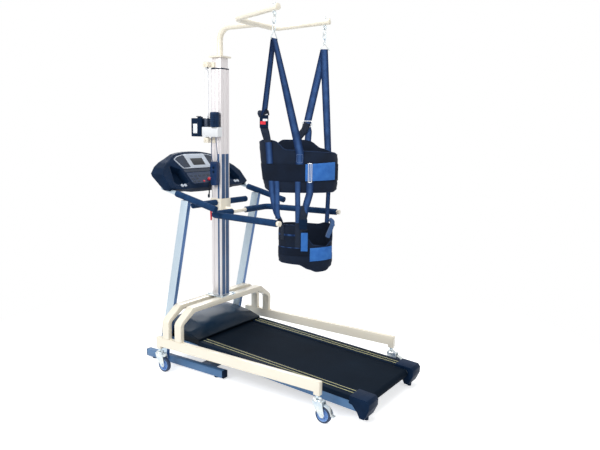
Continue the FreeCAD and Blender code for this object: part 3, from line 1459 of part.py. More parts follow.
upper_c = (far_base + short_way * side_step, far_way, buckle_c + Vector(0, 0, 6), long_way, width)
lower_c = (buckle_c - Vector(0, 0, 6), long_way, sewn_c, way_c, width)
strap_d = (far_base - short_way * side_step, far_way, sewn_d, way_d, width)
near_loop = wrap(near_base, near_way, width).fuse([
    strap(*upper_a), strap(*strap_b), sewn(vest_wall_size, 10, -1, width, belt_top, 1512),
])
far_loop = wrap(far_base, far_way, width).fuse([
    strap(*upper_c), strap(*strap_d), sewn(vest_wall_size, 196, 1, width, belt_top, 1504),
])
tail_a = strap(*lower_a).fuse(sewn(vest_wall_size, -188, -1, width, belt_top, 1572))
tail_c = strap(*lower_c).fuse(sewn(vest_wall_size, 62, 1, width, belt_top, 1572))
node("suspension_straps", shape(
    "suspension_straps", Part.makeCompound([near_loop, far_loop, tail_a, tail_c])
))

# Leg straps: from under the belt of the vest down to the thigh band
band_wall_size = (k.band_offset, k.band_half_length, k.band_half_depth)
belt_under = k.belt_low - 1
leg_runs = (
    (-184, -1, 40, -96, -1, 1010), (0, -1, 34, 4, -1, 1020), (204, 1, 34, 196, 1, 1020),
)
leg_straps = []
for top_at, top_side, leg_width, low_at, low_side, low_z in leg_runs:
    start, start_way = wall_place(vest_wall_size, top_at, top_side, k.vest_bottom - 4)
    stop, stop_way = wall_place(band_wall_size, low_at, low_side, low_z - 4)
    leg_straps.append(strap(start, start_way, stop, stop_way, leg_width).fuse([
        sewn(vest_wall_size, top_at, top_side, leg_width, k.vest_bottom - 8, belt_under),
        sewn(band_wall_size, low_at, low_side, leg_width, low_z - 120, low_z),
    ]))
clip_top = at_harness(38, -120, 1080)
start, start_way = wall_place(vest_wall_size, 76, -1, k.vest_bottom - 4)
upper_leg = (start, start_way, clip_top, long_way, 44)
proud_wall = (k.band_offset, k.band_half_length + 3 * gap, k.band_half_depth + 3 * gap)
stop, stop_way = wall_place(proud_wall, 47, -1, 1004)
lower_leg = (clip_top - Vector(0, 0, 46), long_way, stop, stop_way, 44)
leg_straps.append(strap(*upper_leg).fuse(sewn(vest_wall_size, 76, -1, 44, k.vest_bottom - 8, belt_under)))
leg_straps.append(strap(*lower_leg).fuse(sewn(band_wall_size, 47, -1, 44, 880, 1010)))
node("leg_straps", shape("leg_straps", Part.makeCompound(leg_straps)))


def turned_block(centre, size):
    """A rounded block that lies along the harness, about its centre."""
    solid = Part.makeBox(size[0], size[1], size[2], Vector(-size[0] / 2, -size[1] / 2, -size[2] / 2))
    solid = solid.makeFillet(min(size) / 4, solid.Edges)
    solid.Placement = Placement(centre, Rotation(Z_AXIS, k.harness_turn))
    return solid


# Buckles: a seat belt buckle, a strap slide, the belt's slide and a side
# release buckle, each with a slot where its straps go in
slide_place, slide_way = wall_place((0, k.vest_half_length + 4, k.vest_half_depth + 4), 76, -1, 0)
belt_slide = turned_block(
    slide_place - short_way * 3 + Vector(0, 0, (k.belt_low + k.belt_high) / 2),
    (26, 5, k.belt_high - k.belt_low + 10),
)
buckles = [
    turned_block(buckle_a, (58, 16, 88)).cut(strap(*upper_a, grow=gap)).cut(strap(*lower_a, grow=gap)),
    turned_block(buckle_c, (60, 8, 36)).cut(strap(*upper_c, grow=gap)).cut(strap(*lower_c, grow=gap)),
    turned_block(clip_top - Vector(0, 0, 23), (54, 14, 66))
    .cut(strap(*upper_leg, grow=2 * gap)).cut(strap(*lower_leg, grow=2 * gap)),
    belt_slide,
]
node("buckles", shape("buckles", Part.makeCompound(buckles)))

# Thigh band: a second padded wrap, lower at the far side
band_near = [
    (-150, 1020, 14), (-90, 1044, 24), (24, 1046, 24), (62, 962, 16), (110, 908, 30), (190, 900, 30),
    (260, 950, 0), (260, 820, 0), (214, 764, 30), (150, 738, 40), (70, 764, 30), (10, 792, 20),
    (-110, 794, 20), (-150, 840, 0),
]
band_far = [
    (-150, 1020, 0), (-90, 1040, 24), (140, 1030, 40), (190, 1044, 16), (260, 1030, 0), (260, 820, 0),
    (214, 764, 30), (150, 738, 40), (10, 792, 20), (-110, 794, 20), (-150, 840, 0),
]
band_centre = harness + long_way * k.band_offset
band_wall = oval_wall(band_centre, k.band_half_length, k.band_half_depth, k.vest_thickness, 720, 1060)
thigh_band = band_wall.common(outline_block(band_near, -400, 0)).fuse(
    band_wall.common(outline_block(band_far, 0, 400))
)
node("thigh_band", shape("thigh_band", thigh_band.removeSplitter()))

# Rebuild, check every object, and write one file for each sub-part
doc.recompute()
for item in doc.Objects:
    if "Invalid" in item.State or "Error" in item.State:
        raise ValueError("failed to rebuild: " + item.Label)
os.makedirs("parts", exist_ok=True)
for piece in nodes:
    solid = piece.Shape
    if solid.isNull() or not solid.isValid() or not solid.Solids:
        raise ValueError("no valid solid in " + piece.Label)
    solid.exportStep("parts/" + piece.Label + ".step")
print(len(nodes), "sub-parts")
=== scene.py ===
import math

import bpy
import bmesh
from mathutils import Matrix, Vector, noise


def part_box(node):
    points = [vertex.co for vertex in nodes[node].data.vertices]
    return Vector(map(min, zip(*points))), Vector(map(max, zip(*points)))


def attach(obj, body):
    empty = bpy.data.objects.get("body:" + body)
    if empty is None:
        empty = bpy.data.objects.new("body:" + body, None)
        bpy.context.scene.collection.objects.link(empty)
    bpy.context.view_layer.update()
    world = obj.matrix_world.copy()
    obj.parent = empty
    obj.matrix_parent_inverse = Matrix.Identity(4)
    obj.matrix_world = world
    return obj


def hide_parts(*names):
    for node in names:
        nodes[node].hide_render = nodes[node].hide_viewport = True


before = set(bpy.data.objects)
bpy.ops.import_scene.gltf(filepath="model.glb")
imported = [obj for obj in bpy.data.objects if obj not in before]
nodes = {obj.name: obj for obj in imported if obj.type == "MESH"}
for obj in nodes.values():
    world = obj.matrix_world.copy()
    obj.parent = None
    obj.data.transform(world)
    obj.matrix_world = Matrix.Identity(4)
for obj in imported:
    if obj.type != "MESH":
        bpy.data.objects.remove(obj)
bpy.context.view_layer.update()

# The view, the room and the light. The camera stands where the photograph's
# perspective puts it. The room is a white vinyl sweep under broad soft lamps, the
# brightest on the camera's left and high up, as in the picture.


def linear(code):
    """A sRGB hex colour as the linear colour that Blender's sockets take."""
    parts = [int(code[i:i + 2], 16) / 255 for i in (1, 3, 5)]
    return [p / 12.92 if p <= 0.04045 else ((p + 0.055) / 1.055) ** 2.4 for p in parts] + [1.0]


def plug(tree, socket, value):
    """Link a socket to another's output, or set its value, with a hex colour turned to linear."""
    if isinstance(value, bpy.types.NodeSocket):
        tree.links.new(value, socket)
    else:
        socket.default_value = linear(value) if isinstance(value, str) else value


def add(tree, kind, inputs, **settings):
    """One shader node, with its settings and with what feeds its sockets."""
    made = tree.nodes.new("ShaderNode" + kind)
    for name, value in settings.items():
        setattr(made, name, value)
    for name, value in inputs.items():
        plug(tree, made.inputs[name], value)
    return made


def here(x, y, z):
    """A place in millimetres from the column's axis, as metres in the row frame."""
    return Vector(((x - 507) / 1000, y / 1000, z / 1000))


yaw, pitch, roll = math.radians(33.95), math.radians(8.75), math.radians(0.86)
ahead = Vector((-math.sin(yaw) * math.cos(pitch), math.cos(yaw) * math.cos(pitch), -math.sin(pitch)))
level = Vector((math.cos(yaw), math.sin(yaw), 0))
upward = level.cross(ahead)
right = level * math.cos(roll) + upward * math.sin(roll)
upright = upward * math.cos(roll) - level * math.sin(roll)


def placed(name, data):
    """A new object in the scene that shows the data given."""
    made = bpy.data.objects.new(name, data)
    bpy.context.scene.collection.objects.link(made)
    return made


camera = placed("camera", bpy.data.cameras.new("camera"))
camera.data.lens = 36.7
camera.data.sensor_width = 36
camera_turn = Matrix((right, upright, -ahead)).transposed().to_4x4()
camera.matrix_world = Matrix.Translation(here(2900.2, -3287.8, 1646.2)) @ camera_turn
bpy.context.scene.camera = camera
bpy.context.scene.view_settings.view_transform = "Standard"

room_light, floor_light = 0.4, 0.62
world = bpy.data.worlds.new("white_room")
bpy.context.scene.world = world
world.use_nodes = True
world.node_tree.nodes.clear()
ray = add(world.node_tree, "LightPath", {})
seen = add(
    world.node_tree, "Math",
    {0: ray.outputs["Is Camera Ray"], 1: ray.outputs["Is Glossy Ray"]}, operation="MAXIMUM",
)
seen = add(
    world.node_tree, "Math", {0: seen.outputs[0], 1: ray.outputs["Is Transmission Ray"]}, operation="MAXIMUM"
)
strength = add(world.node_tree, "MapRange", {"Value": seen.outputs[0], "To Min": room_light, "To Max": 1.0})
room = add(world.node_tree, "Background", {"Color": "#FFFFFF", "Strength": strength.outputs["Result"]})
add(world.node_tree, "OutputWorld", {"Surface": room.outputs[0]})

floor_size, floor_drop = 60, 0.0005
bpy.ops.mesh.primitive_plane_add(size=floor_size, location=(0, 0, -floor_drop))
floor = bpy.context.object
floor.name = "floor"
sweep = bpy.data.materials.new("white_vinyl_sweep")
sweep.use_nodes = True
sweep.node_tree.nodes.clear()
ray = add(sweep.node_tree, "LightPath", {})
seen = add(
    sweep.node_tree, "Math",
    {0: ray.outputs["Is Camera Ray"], 1: ray.outputs["Is Glossy Ray"]}, operation="MAXIMUM",
)
matt = add(sweep.node_tree, "BsdfDiffuse", {"Color": "#E6E8EA"})
glow = add(sweep.node_tree, "Emission", {"Color": "#FFFFFF", "Strength": floor_light})
lifted = add(sweep.node_tree, "AddShader", {0: matt.outputs[0], 1: glow.outputs[0]})
white = add(sweep.node_tree, "Emission", {"Color": "#FFFFFF", "Strength": 1.0})
fade_start, fade_end = 1.3, 2.6  # metres from the middle, where the floor's shadows fade out
place = add(sweep.node_tree, "NewGeometry", {}).outputs["Position"]
away = add(sweep.node_tree, "VectorMath", {0: place}, operation="LENGTH")
far = add(
    sweep.node_tree, "MapRange",
    {"Value": away.outputs["Value"], "From Min": fade_start, "From Max": fade_end},
)
faded = add(
    sweep.node_tree, "MixShader", {0: far.outputs["Result"], 1: lifted.outputs[0], 2: white.outputs[0]}
)
mixed = add(sweep.node_tree, "MixShader", {0: seen.outputs[0], 1: matt.outputs[0], 2: faded.outputs[0]})
add(sweep.node_tree, "OutputMaterial", {"Surface": mixed.outputs[0]})
floor.data.materials.append(sweep)

for name, place, aim, size, power in (
    ("key_lamp", (-1.2, -5.2, 4.6), (0, 0, 1.0), 3.2, 230),
    ("front_lamp", (4.6, -2.6, 3.2), (0, 0, 1.0), 3.0, 70),
    ("back_lamp", (-3.6, 3.6, 4.2), (0, 0, 1.2), 3.0, 110),
    ("top_lamp", (0.6, 0.2, 5.6), (0, 0, 0.6), 3.0, 90),
):
    lamp = placed(name, bpy.data.lights.new(name, "AREA"))
    lamp.data.shape = "DISK"
    lamp.data.size = size
    lamp.data.energy = power
    lamp.location = place
    lamp.rotation_euler = (Vector(aim) - Vector(place)).to_track_quat("-Z", "Y").to_euler()

# Control cables. Two PVC sheathed leads leave the motor and the gear case and
# hang down the column to the handset; they are moulded, so smooth with a soft
# shine. The points are those of the solids.


def surface(name, cloth=False):
    """An empty material for one real finish: it, its tree, its shader and where its patterns lie.

    A hard finish is drawn in the solid's own metres, and cloth along and across its own length.
    """
    material = bpy.data.materials.new(name)
    material.use_nodes = True
    tree = material.node_tree
    tree.nodes.clear()
    shader = add(tree, "BsdfPrincipled", {})
    add(tree, "OutputMaterial", {"Surface": shader.outputs[0]})
    if cloth:
        place = add(tree, "UVMap", {}, uv_map="metres").outputs["UV"]
    else:
        place = add(tree, "TexCoord", {}).outputs["Object"]
    return material, tree, shader, place


def feed(tree, shader, **sockets):
    """Set a shader's own sockets, by value or by link."""
    for name, value in sockets.items():
        plug(tree, shader.inputs[name.replace("_", " ")], value)


cable_pvc, tree, shader, _ = surface("cable_pvc")
speckle = add(tree, "TexNoise", {"Scale": 400.0, "Detail": 3.0})
tone = add(tree, "Mix", {0: speckle.outputs["Fac"], 6: "#1E355C", 7: "#2C4C80"}, data_type="RGBA")
feed(tree, shader, Base_Color=tone.outputs[2], Roughness=0.38)

cable_thick, sag_share = 0.005, 0.985  # a curve cuts the corners of its points by 1.5%
cables = {
    "motor_cable": [
        (38, -88, 1596), (39, -89, 1560), (42, -84, 1512), (41, -76, 1466), (30, -66, 1438),
        (20, -61, 1425),
    ],
    "gear_cable": [
        (-8, -80, 1596), (-9, -81, 1562), (-15, -78, 1514), (-20, -72, 1468), (-20, -65, 1440),
        (-18, -61, 1425),
    ],
}
for name, route in cables.items():
    curve = bpy.data.curves.new(name, "CURVE")
    curve.dimensions = "3D"
    spline = curve.splines.new("NURBS")
    spline.points.add(len(route) - 1)
    for point, at in zip(spline.points, route):
        point.co = (*here(*at), 1)
    spline.order_u = 3
    spline.use_endpoint_u = True
    curve.bevel_depth = cable_thick / 2
    curve.bevel_resolution = 4
    curve.use_fill_caps = True
    cable = placed(name, curve)
    cable.data.materials.append(cable_pvc)
    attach(cable, "gantry")
    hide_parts("control_cables")

# Cream enamelled steel: the side rails, arches, arm, spreader, brackets,
# collar and handrail. Baked enamel flows to a glossy skin with a faint orange
# peel; along edges and in inner corners its colour turns a warmer tan.
enamel, tree, shader, place = surface("baked_cream_enamel")
# Clouds of about 17 cm in the baked colour.
cloud = add(tree, "TexNoise", {"Vector": place, "Scale": 6.0, "Detail": 3.0})
tone = add(tree, "Mix", {0: cloud.outputs["Fac"], 6: "#F6F0E1", 7: "#F0E7D3"}, data_type="RGBA")
round_edge = add(tree, "Bevel", {"Radius": 0.003}, samples=4)
facing = add(tree, "NewGeometry", {}).outputs["Normal"]
edge = add(tree, "VectorMath", {0: round_edge.outputs[0], 1: facing}, operation="DOT_PRODUCT")
# Edges and inner corners, where the rounded normal parts from the true one, turn a warmer tan.
tan_edge_mask = add(tree, "MapRange", {"Value": edge.outputs["Value"], "From Min": 0.98, "From Max": 0.86})
warm = add(tree, "Mix", {0: tan_edge_mask.outputs["Result"], 6: tone.outputs[2], 7: "#E3D2A9"}, data_type="RGBA")
peel = add(tree, "TexNoise", {"Vector": place, "Scale": 420.0, "Detail": 2.0})  # about 2.4 mm ripples
bump = add(tree, "Bump", {"Strength": 0.06, "Distance": 0.0004, "Height": peel.outputs["Fac"]})
feed(
    tree, shader, Base_Color=warm.outputs[2], Roughness=0.28, Normal=bump.outputs[0],
    Coat_Weight=0.35, Coat_Roughness=0.12,
)


def coat(material, *names, edge_mm=0.8):
    """Give solids of the frame their finish, with edges broken as a real maker does."""
    for name in names:
        solid = nodes[name]
        solid.data.materials.clear()
        solid.data.materials.append(material)
        solid.modifiers.new("weld", "WELD").merge_threshold = 0.00002
        if edge_mm:
            broken = solid.modifiers.new("edges", "BEVEL")
            broken.width = edge_mm / 1000
            broken.segments = 2
            broken.limit_method = "ANGLE"
            broken.angle_limit = math.radians(35)
            broken.harden_normals = False
        for polygon in solid.data.polygons:
            polygon.use_smooth = True
        smooth = solid.modifiers.new("smooth", "EDGE_SPLIT")
        smooth.split_angle = math.radians(32)


coat(
    enamel, "frame_rails", "arches", "overhead_arm", "spreader_bar",
    "handrail_collar", "u_handrail", "lower_bracket", "upper_bracket", edge_mm=1.2,
)

# Weld beads. The arch feet, the arm and the collar's tubes are MIG welded, then
# enamelled over, so each joint keeps a low rippled bead in the same cream.


def piece(name, points, faces, material, body, uvs=None, smooth=True):
    """A mesh of the builder's own, on the body that carries it."""
    mesh = bpy.data.meshes.new(name)
    mesh.from_pydata([tuple(point) for point in points], [], faces)
    mesh.update()
    if uvs:
        layer = mesh.uv_layers.new(name="metres")
        for loop in mesh.loops:
            layer.data[loop.index].uv = uvs[loop.vertex_index]
    for polygon in mesh.polygons:
        polygon.use_smooth = smooth
    made = placed(name, mesh)
    mesh.materials.append(material)
    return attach(made, body)


def rings_to_faces(rings, around, closed_length=False, closed_around=True):
    """The faces that join rings of points, one ring after another."""
    faces = []
    for i in range(rings if closed_length else rings - 1):
        low, high = i * around, ((i + 1) % rings) * around
        for j in range(around if closed_around else around - 1):
            k = (j + 1) % around
            faces.append((low + j, low + k, high + k, high + j))
    return faces


def bead(name, path, radius, body, closed=True):
    """A rippled weld bead that follows a path."""
    count, around = len(path), 8
    points = []
    for i, at in enumerate(path):
        ahead_at = path[(i + 1) % count] if closed or i < count - 1 else at
        behind_at = path[i - 1] if closed or i > 0 else at
        along = (ahead_at - behind_at).normalized()
        side = along.orthogonal().normalized()
        other = along.cross(side)
        swell = radius * (1 + 0.16 * math.sin(i * 1.9))
        for j in range(around):
            angle = 2 * math.pi * j / around
            points.append(at + (side * math.cos(angle) + other * math.sin(angle)) * swell)
    faces = rings_to_faces(count, around, closed_length=closed)
    return piece(name, points, faces, enamel, body)


def rectangle_path(centre, half_x, half_y, step=0.004):
    """Points round a level rectangle, a ripple apart."""
    corners = [(-half_x, -half_y), (half_x, -half_y), (half_x, half_y), (-half_x, half_y)]
    path = []
    for (x, y), (u, v) in zip(corners, corners[1:] + corners[:1]):
        count = max(2, int(math.hypot(u - x, v - y) / step))
        path += [
            centre + Vector((x + (u - x) * i / count, y + (v - y) * i / count, 0)) for i in range(count)
        ]
    return path


def round_path(centre, radius, first, second, count=32):
    """Points round a tube, in the plane of two axes (0, 1 or 2), in millimetres."""
    path = []
    for i in range(count):
        at, turn = list(centre), 2 * math.pi * i / count
        at[first] += radius * math.cos(turn)
        at[second] += radius * math.sin(turn)
        path.append(here(*at))
    return path


both_sides = (("left", -1), ("right", 1))
rail_place, rail_top = 480.5, 241.5
collar_half, cross_bar_height, rail_height = 50.8, 1136, 1093
for label, side in both_sides:
    for end, foot_place in (("front", -61), ("rear", 53)):
        foot = rectangle_path(here(foot_place, side * rail_place, rail_top), 0.0292, 0.0152)
        bead(f"arch_weld_{end}_{label}", foot, 0.0018, "gantry")
bead("arm_foot_weld", round_path((0, 0, 2145.8), 21.5, 0, 1, 48), 0.002, "lift")
for label, side in both_sides:
    ring = round_path((0, side * collar_half, cross_bar_height), 13.2, 0, 2)
    bead("cross_bar_weld_" + label, ring, 0.0013, "handrail")
bead("link_weld", round_path((collar_half, 0, rail_height), 14.6, 1, 2), 0.0018, "handrail")
y_way, up = Vector((0, 1, 0)), Vector((0, 0, 1))

# Bright zinc plated steel: the base plate, bolts, stems, eye bolts, chain links,
# caster forks and pedals. Plating is a cool grey with a faint yellow and blue bloom,
# and pressings keep fine rolling lines.
zinc, tree, shader, place = surface("bright_zinc_plate")
# Blooms of about 3 cm in the plating.
bloom = add(tree, "TexNoise", {"Vector": place, "Scale": 30.0, "Detail": 4.0})
ramp = add(tree, "ValToRGB", {"Fac": bloom.outputs["Fac"]})
ramp.color_ramp.elements[0].position = 0.35
ramp.color_ramp.elements[0].color = linear("#B9C7D2")
ramp.color_ramp.elements[1].position = 0.68
ramp.color_ramp.elements[1].color = linear("#DDDFD9")
# Rolling grain of 1.1 mm, coarser than the real 0.3 mm so that it shows.
grain = add(tree, "TexNoise", {"Vector": place, "Scale": 900.0, "Detail": 2.0})
rough = add(tree, "MapRange", {"Value": grain.outputs["Fac"], "To Min": 0.2, "To Max": 0.38})
feed(tree, shader, Base_Color=ramp.outputs["Color"], Metallic=0.85, Roughness=rough.outputs["Result"])
coat(zinc, "frame_fasteners", "eye_bolts", "hook_chains", "front_roller", "rear_roller", edge_mm=0.4)
coat(zinc, "column_base_plate", edge_mm=1.2)
coat(
    zinc, "front_left_fork", "front_right_fork", "rear_left_fork", "rear_right_fork",
    "rear_left_brake_pedal", "rear_right_brake_pedal", edge_mm=0.5,
)

# Caster wheels: a blue-grey polyamide wheel with a pressed-on rubber tyre, its
# tread lightly scuffed, turning on a steel bush. The rims are injection moulded,
# with a dished web and short ribs.
tyre_rubber, tree, shader, place = surface("scuffed_tyre_rubber")
# Scuffs of about 11 mm on the tread.
scuff = add(tree, "TexNoise", {"Vector": place, "Scale": 90.0, "Detail": 6.0, "Roughness": 0.7})
tone = add(tree, "Mix", {0: scuff.outputs["Fac"], 6: "#142744", 7: "#2A4062"}, data_type="RGBA")
bump = add(tree, "Bump", {"Strength": 0.25, "Distance": 0.0004, "Height": scuff.outputs["Fac"]})
feed(tree, shader, Base_Color=tone.outputs[2], Roughness=0.55, Normal=bump.outputs[0])

rim_nylon, tree, shader, place = surface("moulded_polyamide_rim")
# Mould grain of 1.4 mm, coarser than the real one so that it shows.
grain = add(tree, "TexNoise", {"Vector": place, "Scale": 700.0, "Detail": 2.0})
bump = add(tree, "Bump", {"Strength": 0.12, "Distance": 0.0003, "Height": grain.outputs["Fac"]})
cloud = add(tree, "TexNoise", {"Vector": place, "Scale": 25.0})
tone = add(tree, "Mix", {0: cloud.outputs["Fac"], 6: "#5C8ACB", 7: "#8AB0E0"}, data_type="RGBA")
feed(tree, shader, Base_Color=tone.outputs[2], Roughness=0.42, Normal=bump.outputs[0])


def turned(name, profile, centre, material, body, steps=64):
    """A form turned about an axle along Y: profile gives (radius, place along the axle) in mm."""
    points = []
    for i in range(steps):
        angle = 2 * math.pi * i / steps
        for radius, along in profile:
            points.append(centre + Vector((
                radius * math.cos(angle), along, radius * math.sin(angle)
            )) / 1000)
    faces = rings_to_faces(steps, len(profile), closed_length=True)
    return piece(name, points, faces, material, body)


half_tyre = [(50, 3), (49.7, 7.5), (48.6, 10.6), (46, 12.6), (42, 13.2), (38.5, 12.5)]
half_rim = [
    (5, 17.4), (12.6, 17.4), (13.5, 16.6), (15.5, 8), (18, 5), (31.5, 5), (33.2, 7), (35.2, 12.6),
    (37.5, 13.0), (38.6, 12.4),
]
tyre_profile = [(radius, -along) for radius, along in reversed(half_tyre)] + half_tyre
rim_profile = [(radius, -along) for radius, along in reversed(half_rim)] + half_rim
wheel_radius, caster_trail = 50, 42
for end, stem_place in (("front", -133), ("rear", 1149)):
    for side, y in (("left", -rail_place), ("right", rail_place)):
        body = f"{end}_{side}_wheel"
        axle = here(stem_place + caster_trail, y, wheel_radius)
        tyre = turned(body + "_tyre", tyre_profile, axle, tyre_rubber, body)
        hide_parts(body)
        turned(body + "_rim", rim_profile, axle, rim_nylon, body)
        ribs, faces = [], []
        for i in range(8):
            angle = 2 * math.pi * (i + 0.5) / 8
            out = Vector((math.cos(angle), 0, math.sin(angle)))
            wide = Vector((-math.sin(angle), 0, math.cos(angle)))
            for face in (-1, 1):
                first = len(ribs)
                for radius, depth in ((14, 13), (33.5, 9)):
                    for w in (-1.1, 1.1):
                        for d in (4.6, depth):
                            ribs.append(axle + (out * radius + wide * w + Vector((0, face * d, 0))) / 1000)
                faces += [
                    tuple(first + n for n in quad)
                    for quad in ((0, 1, 3, 2), (4, 6, 7, 5), (0, 4, 5, 1), (2, 3, 7, 6), (1, 5, 7, 3))
                ]
        piece(body + "_ribs", ribs, faces, rim_nylon, body, smooth=False)

# The column: an anodised aluminium extrusion, and the telescopic inner square
# tube. Extruding leaves fine lines up its length and anodising a dull silver.
# Blue strips in the grooves, up to the height of the handset, are painted shade.
anodised, tree, shader, place = surface("anodised_aluminium")
# Die lines 1.1 mm apart, coarser than the real 0.2 mm, and most of a metre long.
drawn = add(tree, "Mapping", {"Vector": place, "Scale": (900.0, 900.0, 1.2)})
lines = add(tree, "TexNoise", {"Vector": drawn.outputs[0], "Scale": 1.0, "Detail": 3.0})
rough = add(tree, "MapRange", {"Value": lines.outputs["Fac"], "To Min": 0.26, "To Max": 0.46})
tone = add(tree, "Mix", {0: lines.outputs["Fac"], 6: "#DDD8DB", 7: "#F3EFEE"}, data_type="RGBA")
bump = add(tree, "Bump", {"Strength": 0.08, "Distance": 0.0002, "Height": lines.outputs["Fac"]})
feed(
    tree, shader, Base_Color=tone.outputs[2], Metallic=0.55, Roughness=rough.outputs["Result"],
    Normal=bump.outputs[0],
)
coat(anodised, "outer_column", "inner_column", edge_mm=0.6)

# The strips are painted shade: clear blue sheets with soft clouds of about 7 cm, laid in the grooves of the
# lower column.
groove_shade_paint, tree, shader, place = surface("blue_groove_painted_shade")
cloud = add(tree, "TexNoise", {"Vector": place, "Scale": 14.0, "Detail": 3.0})
tone = add(tree, "Mix", {0: cloud.outputs["Fac"], 6: "#1D3E68", 7: "#3A6596"}, data_type="RGBA")
feed(tree, shader, Base_Color=tone.outputs[2], Roughness=0.4)


def bar_faces(first):
    """The faces of a long bar, whose two ends have four corners each."""
    quads = ((0, 4, 5, 1), (1, 5, 6, 2), (2, 6, 7, 3), (3, 7, 4, 0), (0, 1, 2, 3), (4, 7, 6, 5))
    return [tuple(first + n for n in quad) for quad in quads]


# Painted shade: the strips run from 466 to 1478 mm up, widest on the +X face.
strip_foot, strip_top = 466, 1478
strip_back, strip_front = 43.7, 44.2  # from the column's axis
groove_place = 20
strips, faces = [], []
for turn, left_half, right_half in ((0, 17, 17), (1, 3.4, 3.4), (2, 3.4, 3.4), (3, None, 7.5)):
    spin = Matrix.Rotation(turn * math.pi / 2, 3, "Z")
    for centre, half in ((-groove_place, left_half), (groove_place, right_half)):
        if half is None:
            continue
        first = len(strips)
        section = [
            (-half - 0.4, strip_back), (-half, strip_front), (half, strip_front), (half + 0.4, strip_back)
        ]
        for z in (strip_foot, strip_top):
            for across, depth in section:
                strips.append(here(0, 0, z) + spin @ Vector((depth, centre + across, 0)) / 1000)
        faces += bar_faces(first)
piece("groove_painted_shade_strips", strips, faces, groove_shade_paint, "gantry", smooth=False)

# Moulded black plastic: the column guide, control box, handset, its keys and
# the treadmill's trims. Spark-eroded moulds leave a fine leathery grain that
# scatters a blue studio highlight.
black_abs, tree, shader, place = surface("grained_black_abs")
grain = add(tree, "TexVoronoi", {"Vector": place, "Scale": 700.0})  # grain of about 1.4 mm
cloud = add(tree, "TexNoise", {"Vector": place, "Scale": 9.0, "Detail": 4.0})
tone = add(tree, "Mix", {0: cloud.outputs["Fac"], 6: "#091626", 7: "#152C4A"}, data_type="RGBA")
bump = add(tree, "Bump", {"Strength": 0.22, "Distance": 0.0003, "Height": grain.outputs["Distance"]})
feed(
    tree, shader, Base_Color=tone.outputs[2], Roughness=0.46, Specular_IOR_Level=0.05,
    Normal=bump.outputs[0],
)
coat(black_abs, "column_guide", "control_box", "up_button", "down_button", edge_mm=0.6)
coat(black_abs, "foot_caps", "rear_end_caps", edge_mm=2.0)

# The handset's own ABS is smoother than the rest and a shade bluer.
handset_abs, tree, shader, place = surface("blue_black_handset_abs")
cloud = add(tree, "TexNoise", {"Vector": place, "Scale": 26.0, "Detail": 4.0})
tone = add(tree, "Mix", {0: cloud.outputs["Fac"], 6: "#122748", 7: "#1F3D6C"}, data_type="RGBA")
feed(tree, shader, Base_Color=tone.outputs[2], Roughness=0.34, Specular_IOR_Level=0.3)
coat(handset_abs, "handset", edge_mm=1.5)

# The lifting actuator: a silver enamelled tube and foot, a chromed rod, a black
# die-cast gear case between them, and a black painted motor with a ribbed cover.
# Tube, case and foot are one solid here, so height alone parts their finishes.
die_cast, tree, shader, place = surface("actuator_castings")
height = add(tree, "SeparateXYZ", {"Vector": place})
case_foot, case_top = 1.6625, 1.7225
tube = add(tree, "Math", {0: height.outputs["Z"], 1: case_top}, operation="GREATER_THAN")
foot = add(tree, "Math", {0: height.outputs["Z"], 1: case_foot}, operation="LESS_THAN")
bright = add(tree, "Math", {0: tube.outputs[0], 1: foot.outputs[0]}, operation="MAXIMUM")
cloud = add(tree, "TexNoise", {"Vector": place, "Scale": 60.0, "Detail": 4.0})
dark = add(tree, "Mix", {0: cloud.outputs["Fac"], 6: "#101C2E", 7: "#22344C"}, data_type="RGBA")
tone = add(tree, "Mix", {0: bright.outputs[0], 6: dark.outputs[2], 7: "#E9ECEF"}, data_type="RGBA")
rough = add(tree, "MapRange", {"Value": cloud.outputs["Fac"], "To Min": 0.3, "To Max": 0.5})
metal = add(tree, "MapRange", {"Value": bright.outputs[0], "To Min": 0.1, "To Max": 0.5})
bump = add(tree, "Bump", {"Strength": 0.15, "Distance": 0.0004, "Height": cloud.outputs["Fac"]})
feed(
    tree, shader, Base_Color=tone.outputs[2], Metallic=metal.outputs["Result"],
    Roughness=rough.outputs["Result"], Normal=bump.outputs[0],
)
coat(die_cast, "actuator_body", edge_mm=1.0)
# Stoved enamel on the motors: nearly black, with a soft blue highlight.
motor_paint, tree, shader, place = surface("blue_black_motor_enamel")
cloud = add(tree, "TexNoise", {"Vector": place, "Scale": 30.0, "Detail": 3.0})
tone = add(tree, "Mix", {0: cloud.outputs["Fac"], 6: "#0B1C34", 7: "#1B3A60"}, data_type="RGBA")
feed(tree, shader, Base_Color=tone.outputs[2], Roughness=0.4, Specular_IOR_Level=0.15)
coat(motor_paint, "actuator_motor", "drive_motor", edge_mm=3.0)

# Hard chrome on the rod, the slides and the buckle's tongue: a mirror with faint smears.
chrome, tree, shader, place = surface("hard_chrome")
smear = add(tree, "TexNoise", {"Vector": place, "Scale": 50.0, "Detail": 3.0})
rough = add(tree, "MapRange", {"Value": smear.outputs["Fac"], "To Min": 0.06, "To Max": 0.2})
feed(tree, shader, Base_Color="#DEE2E6", Metallic=1.0, Roughness=rough.outputs["Result"])
coat(chrome, "actuator_rod", edge_mm=0.6)


def rounded_box(name, centre, size, radius, material, body, turn=0.0, segments=3):
    """A moulded block with rounded edges, in millimetres about its centre."""
    solid = bmesh.new()
    bmesh.ops.create_cube(solid, size=1.0)
    bmesh.ops.scale(solid, vec=Vector(size) / 1000, verts=solid.verts)
    bmesh.ops.bevel(
        solid, geom=solid.edges[:], offset=radius / 1000, segments=segments, profile=0.6, affect="EDGES"
    )
    bmesh.ops.rotate(solid, cent=(0, 0, 0), matrix=Matrix.Rotation(turn, 3, "Z"), verts=solid.verts)
    bmesh.ops.translate(solid, vec=centre, verts=solid.verts)
    mesh = bpy.data.meshes.new(name)
    solid.to_mesh(mesh)
    solid.free()
    for polygon in mesh.polygons:
        polygon.use_smooth = True
    made = placed(name, mesh)
    mesh.materials.append(material)
    split = made.modifiers.new("smooth", "EDGE_SPLIT")
    split.split_angle = math.radians(40)
    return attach(made, body)


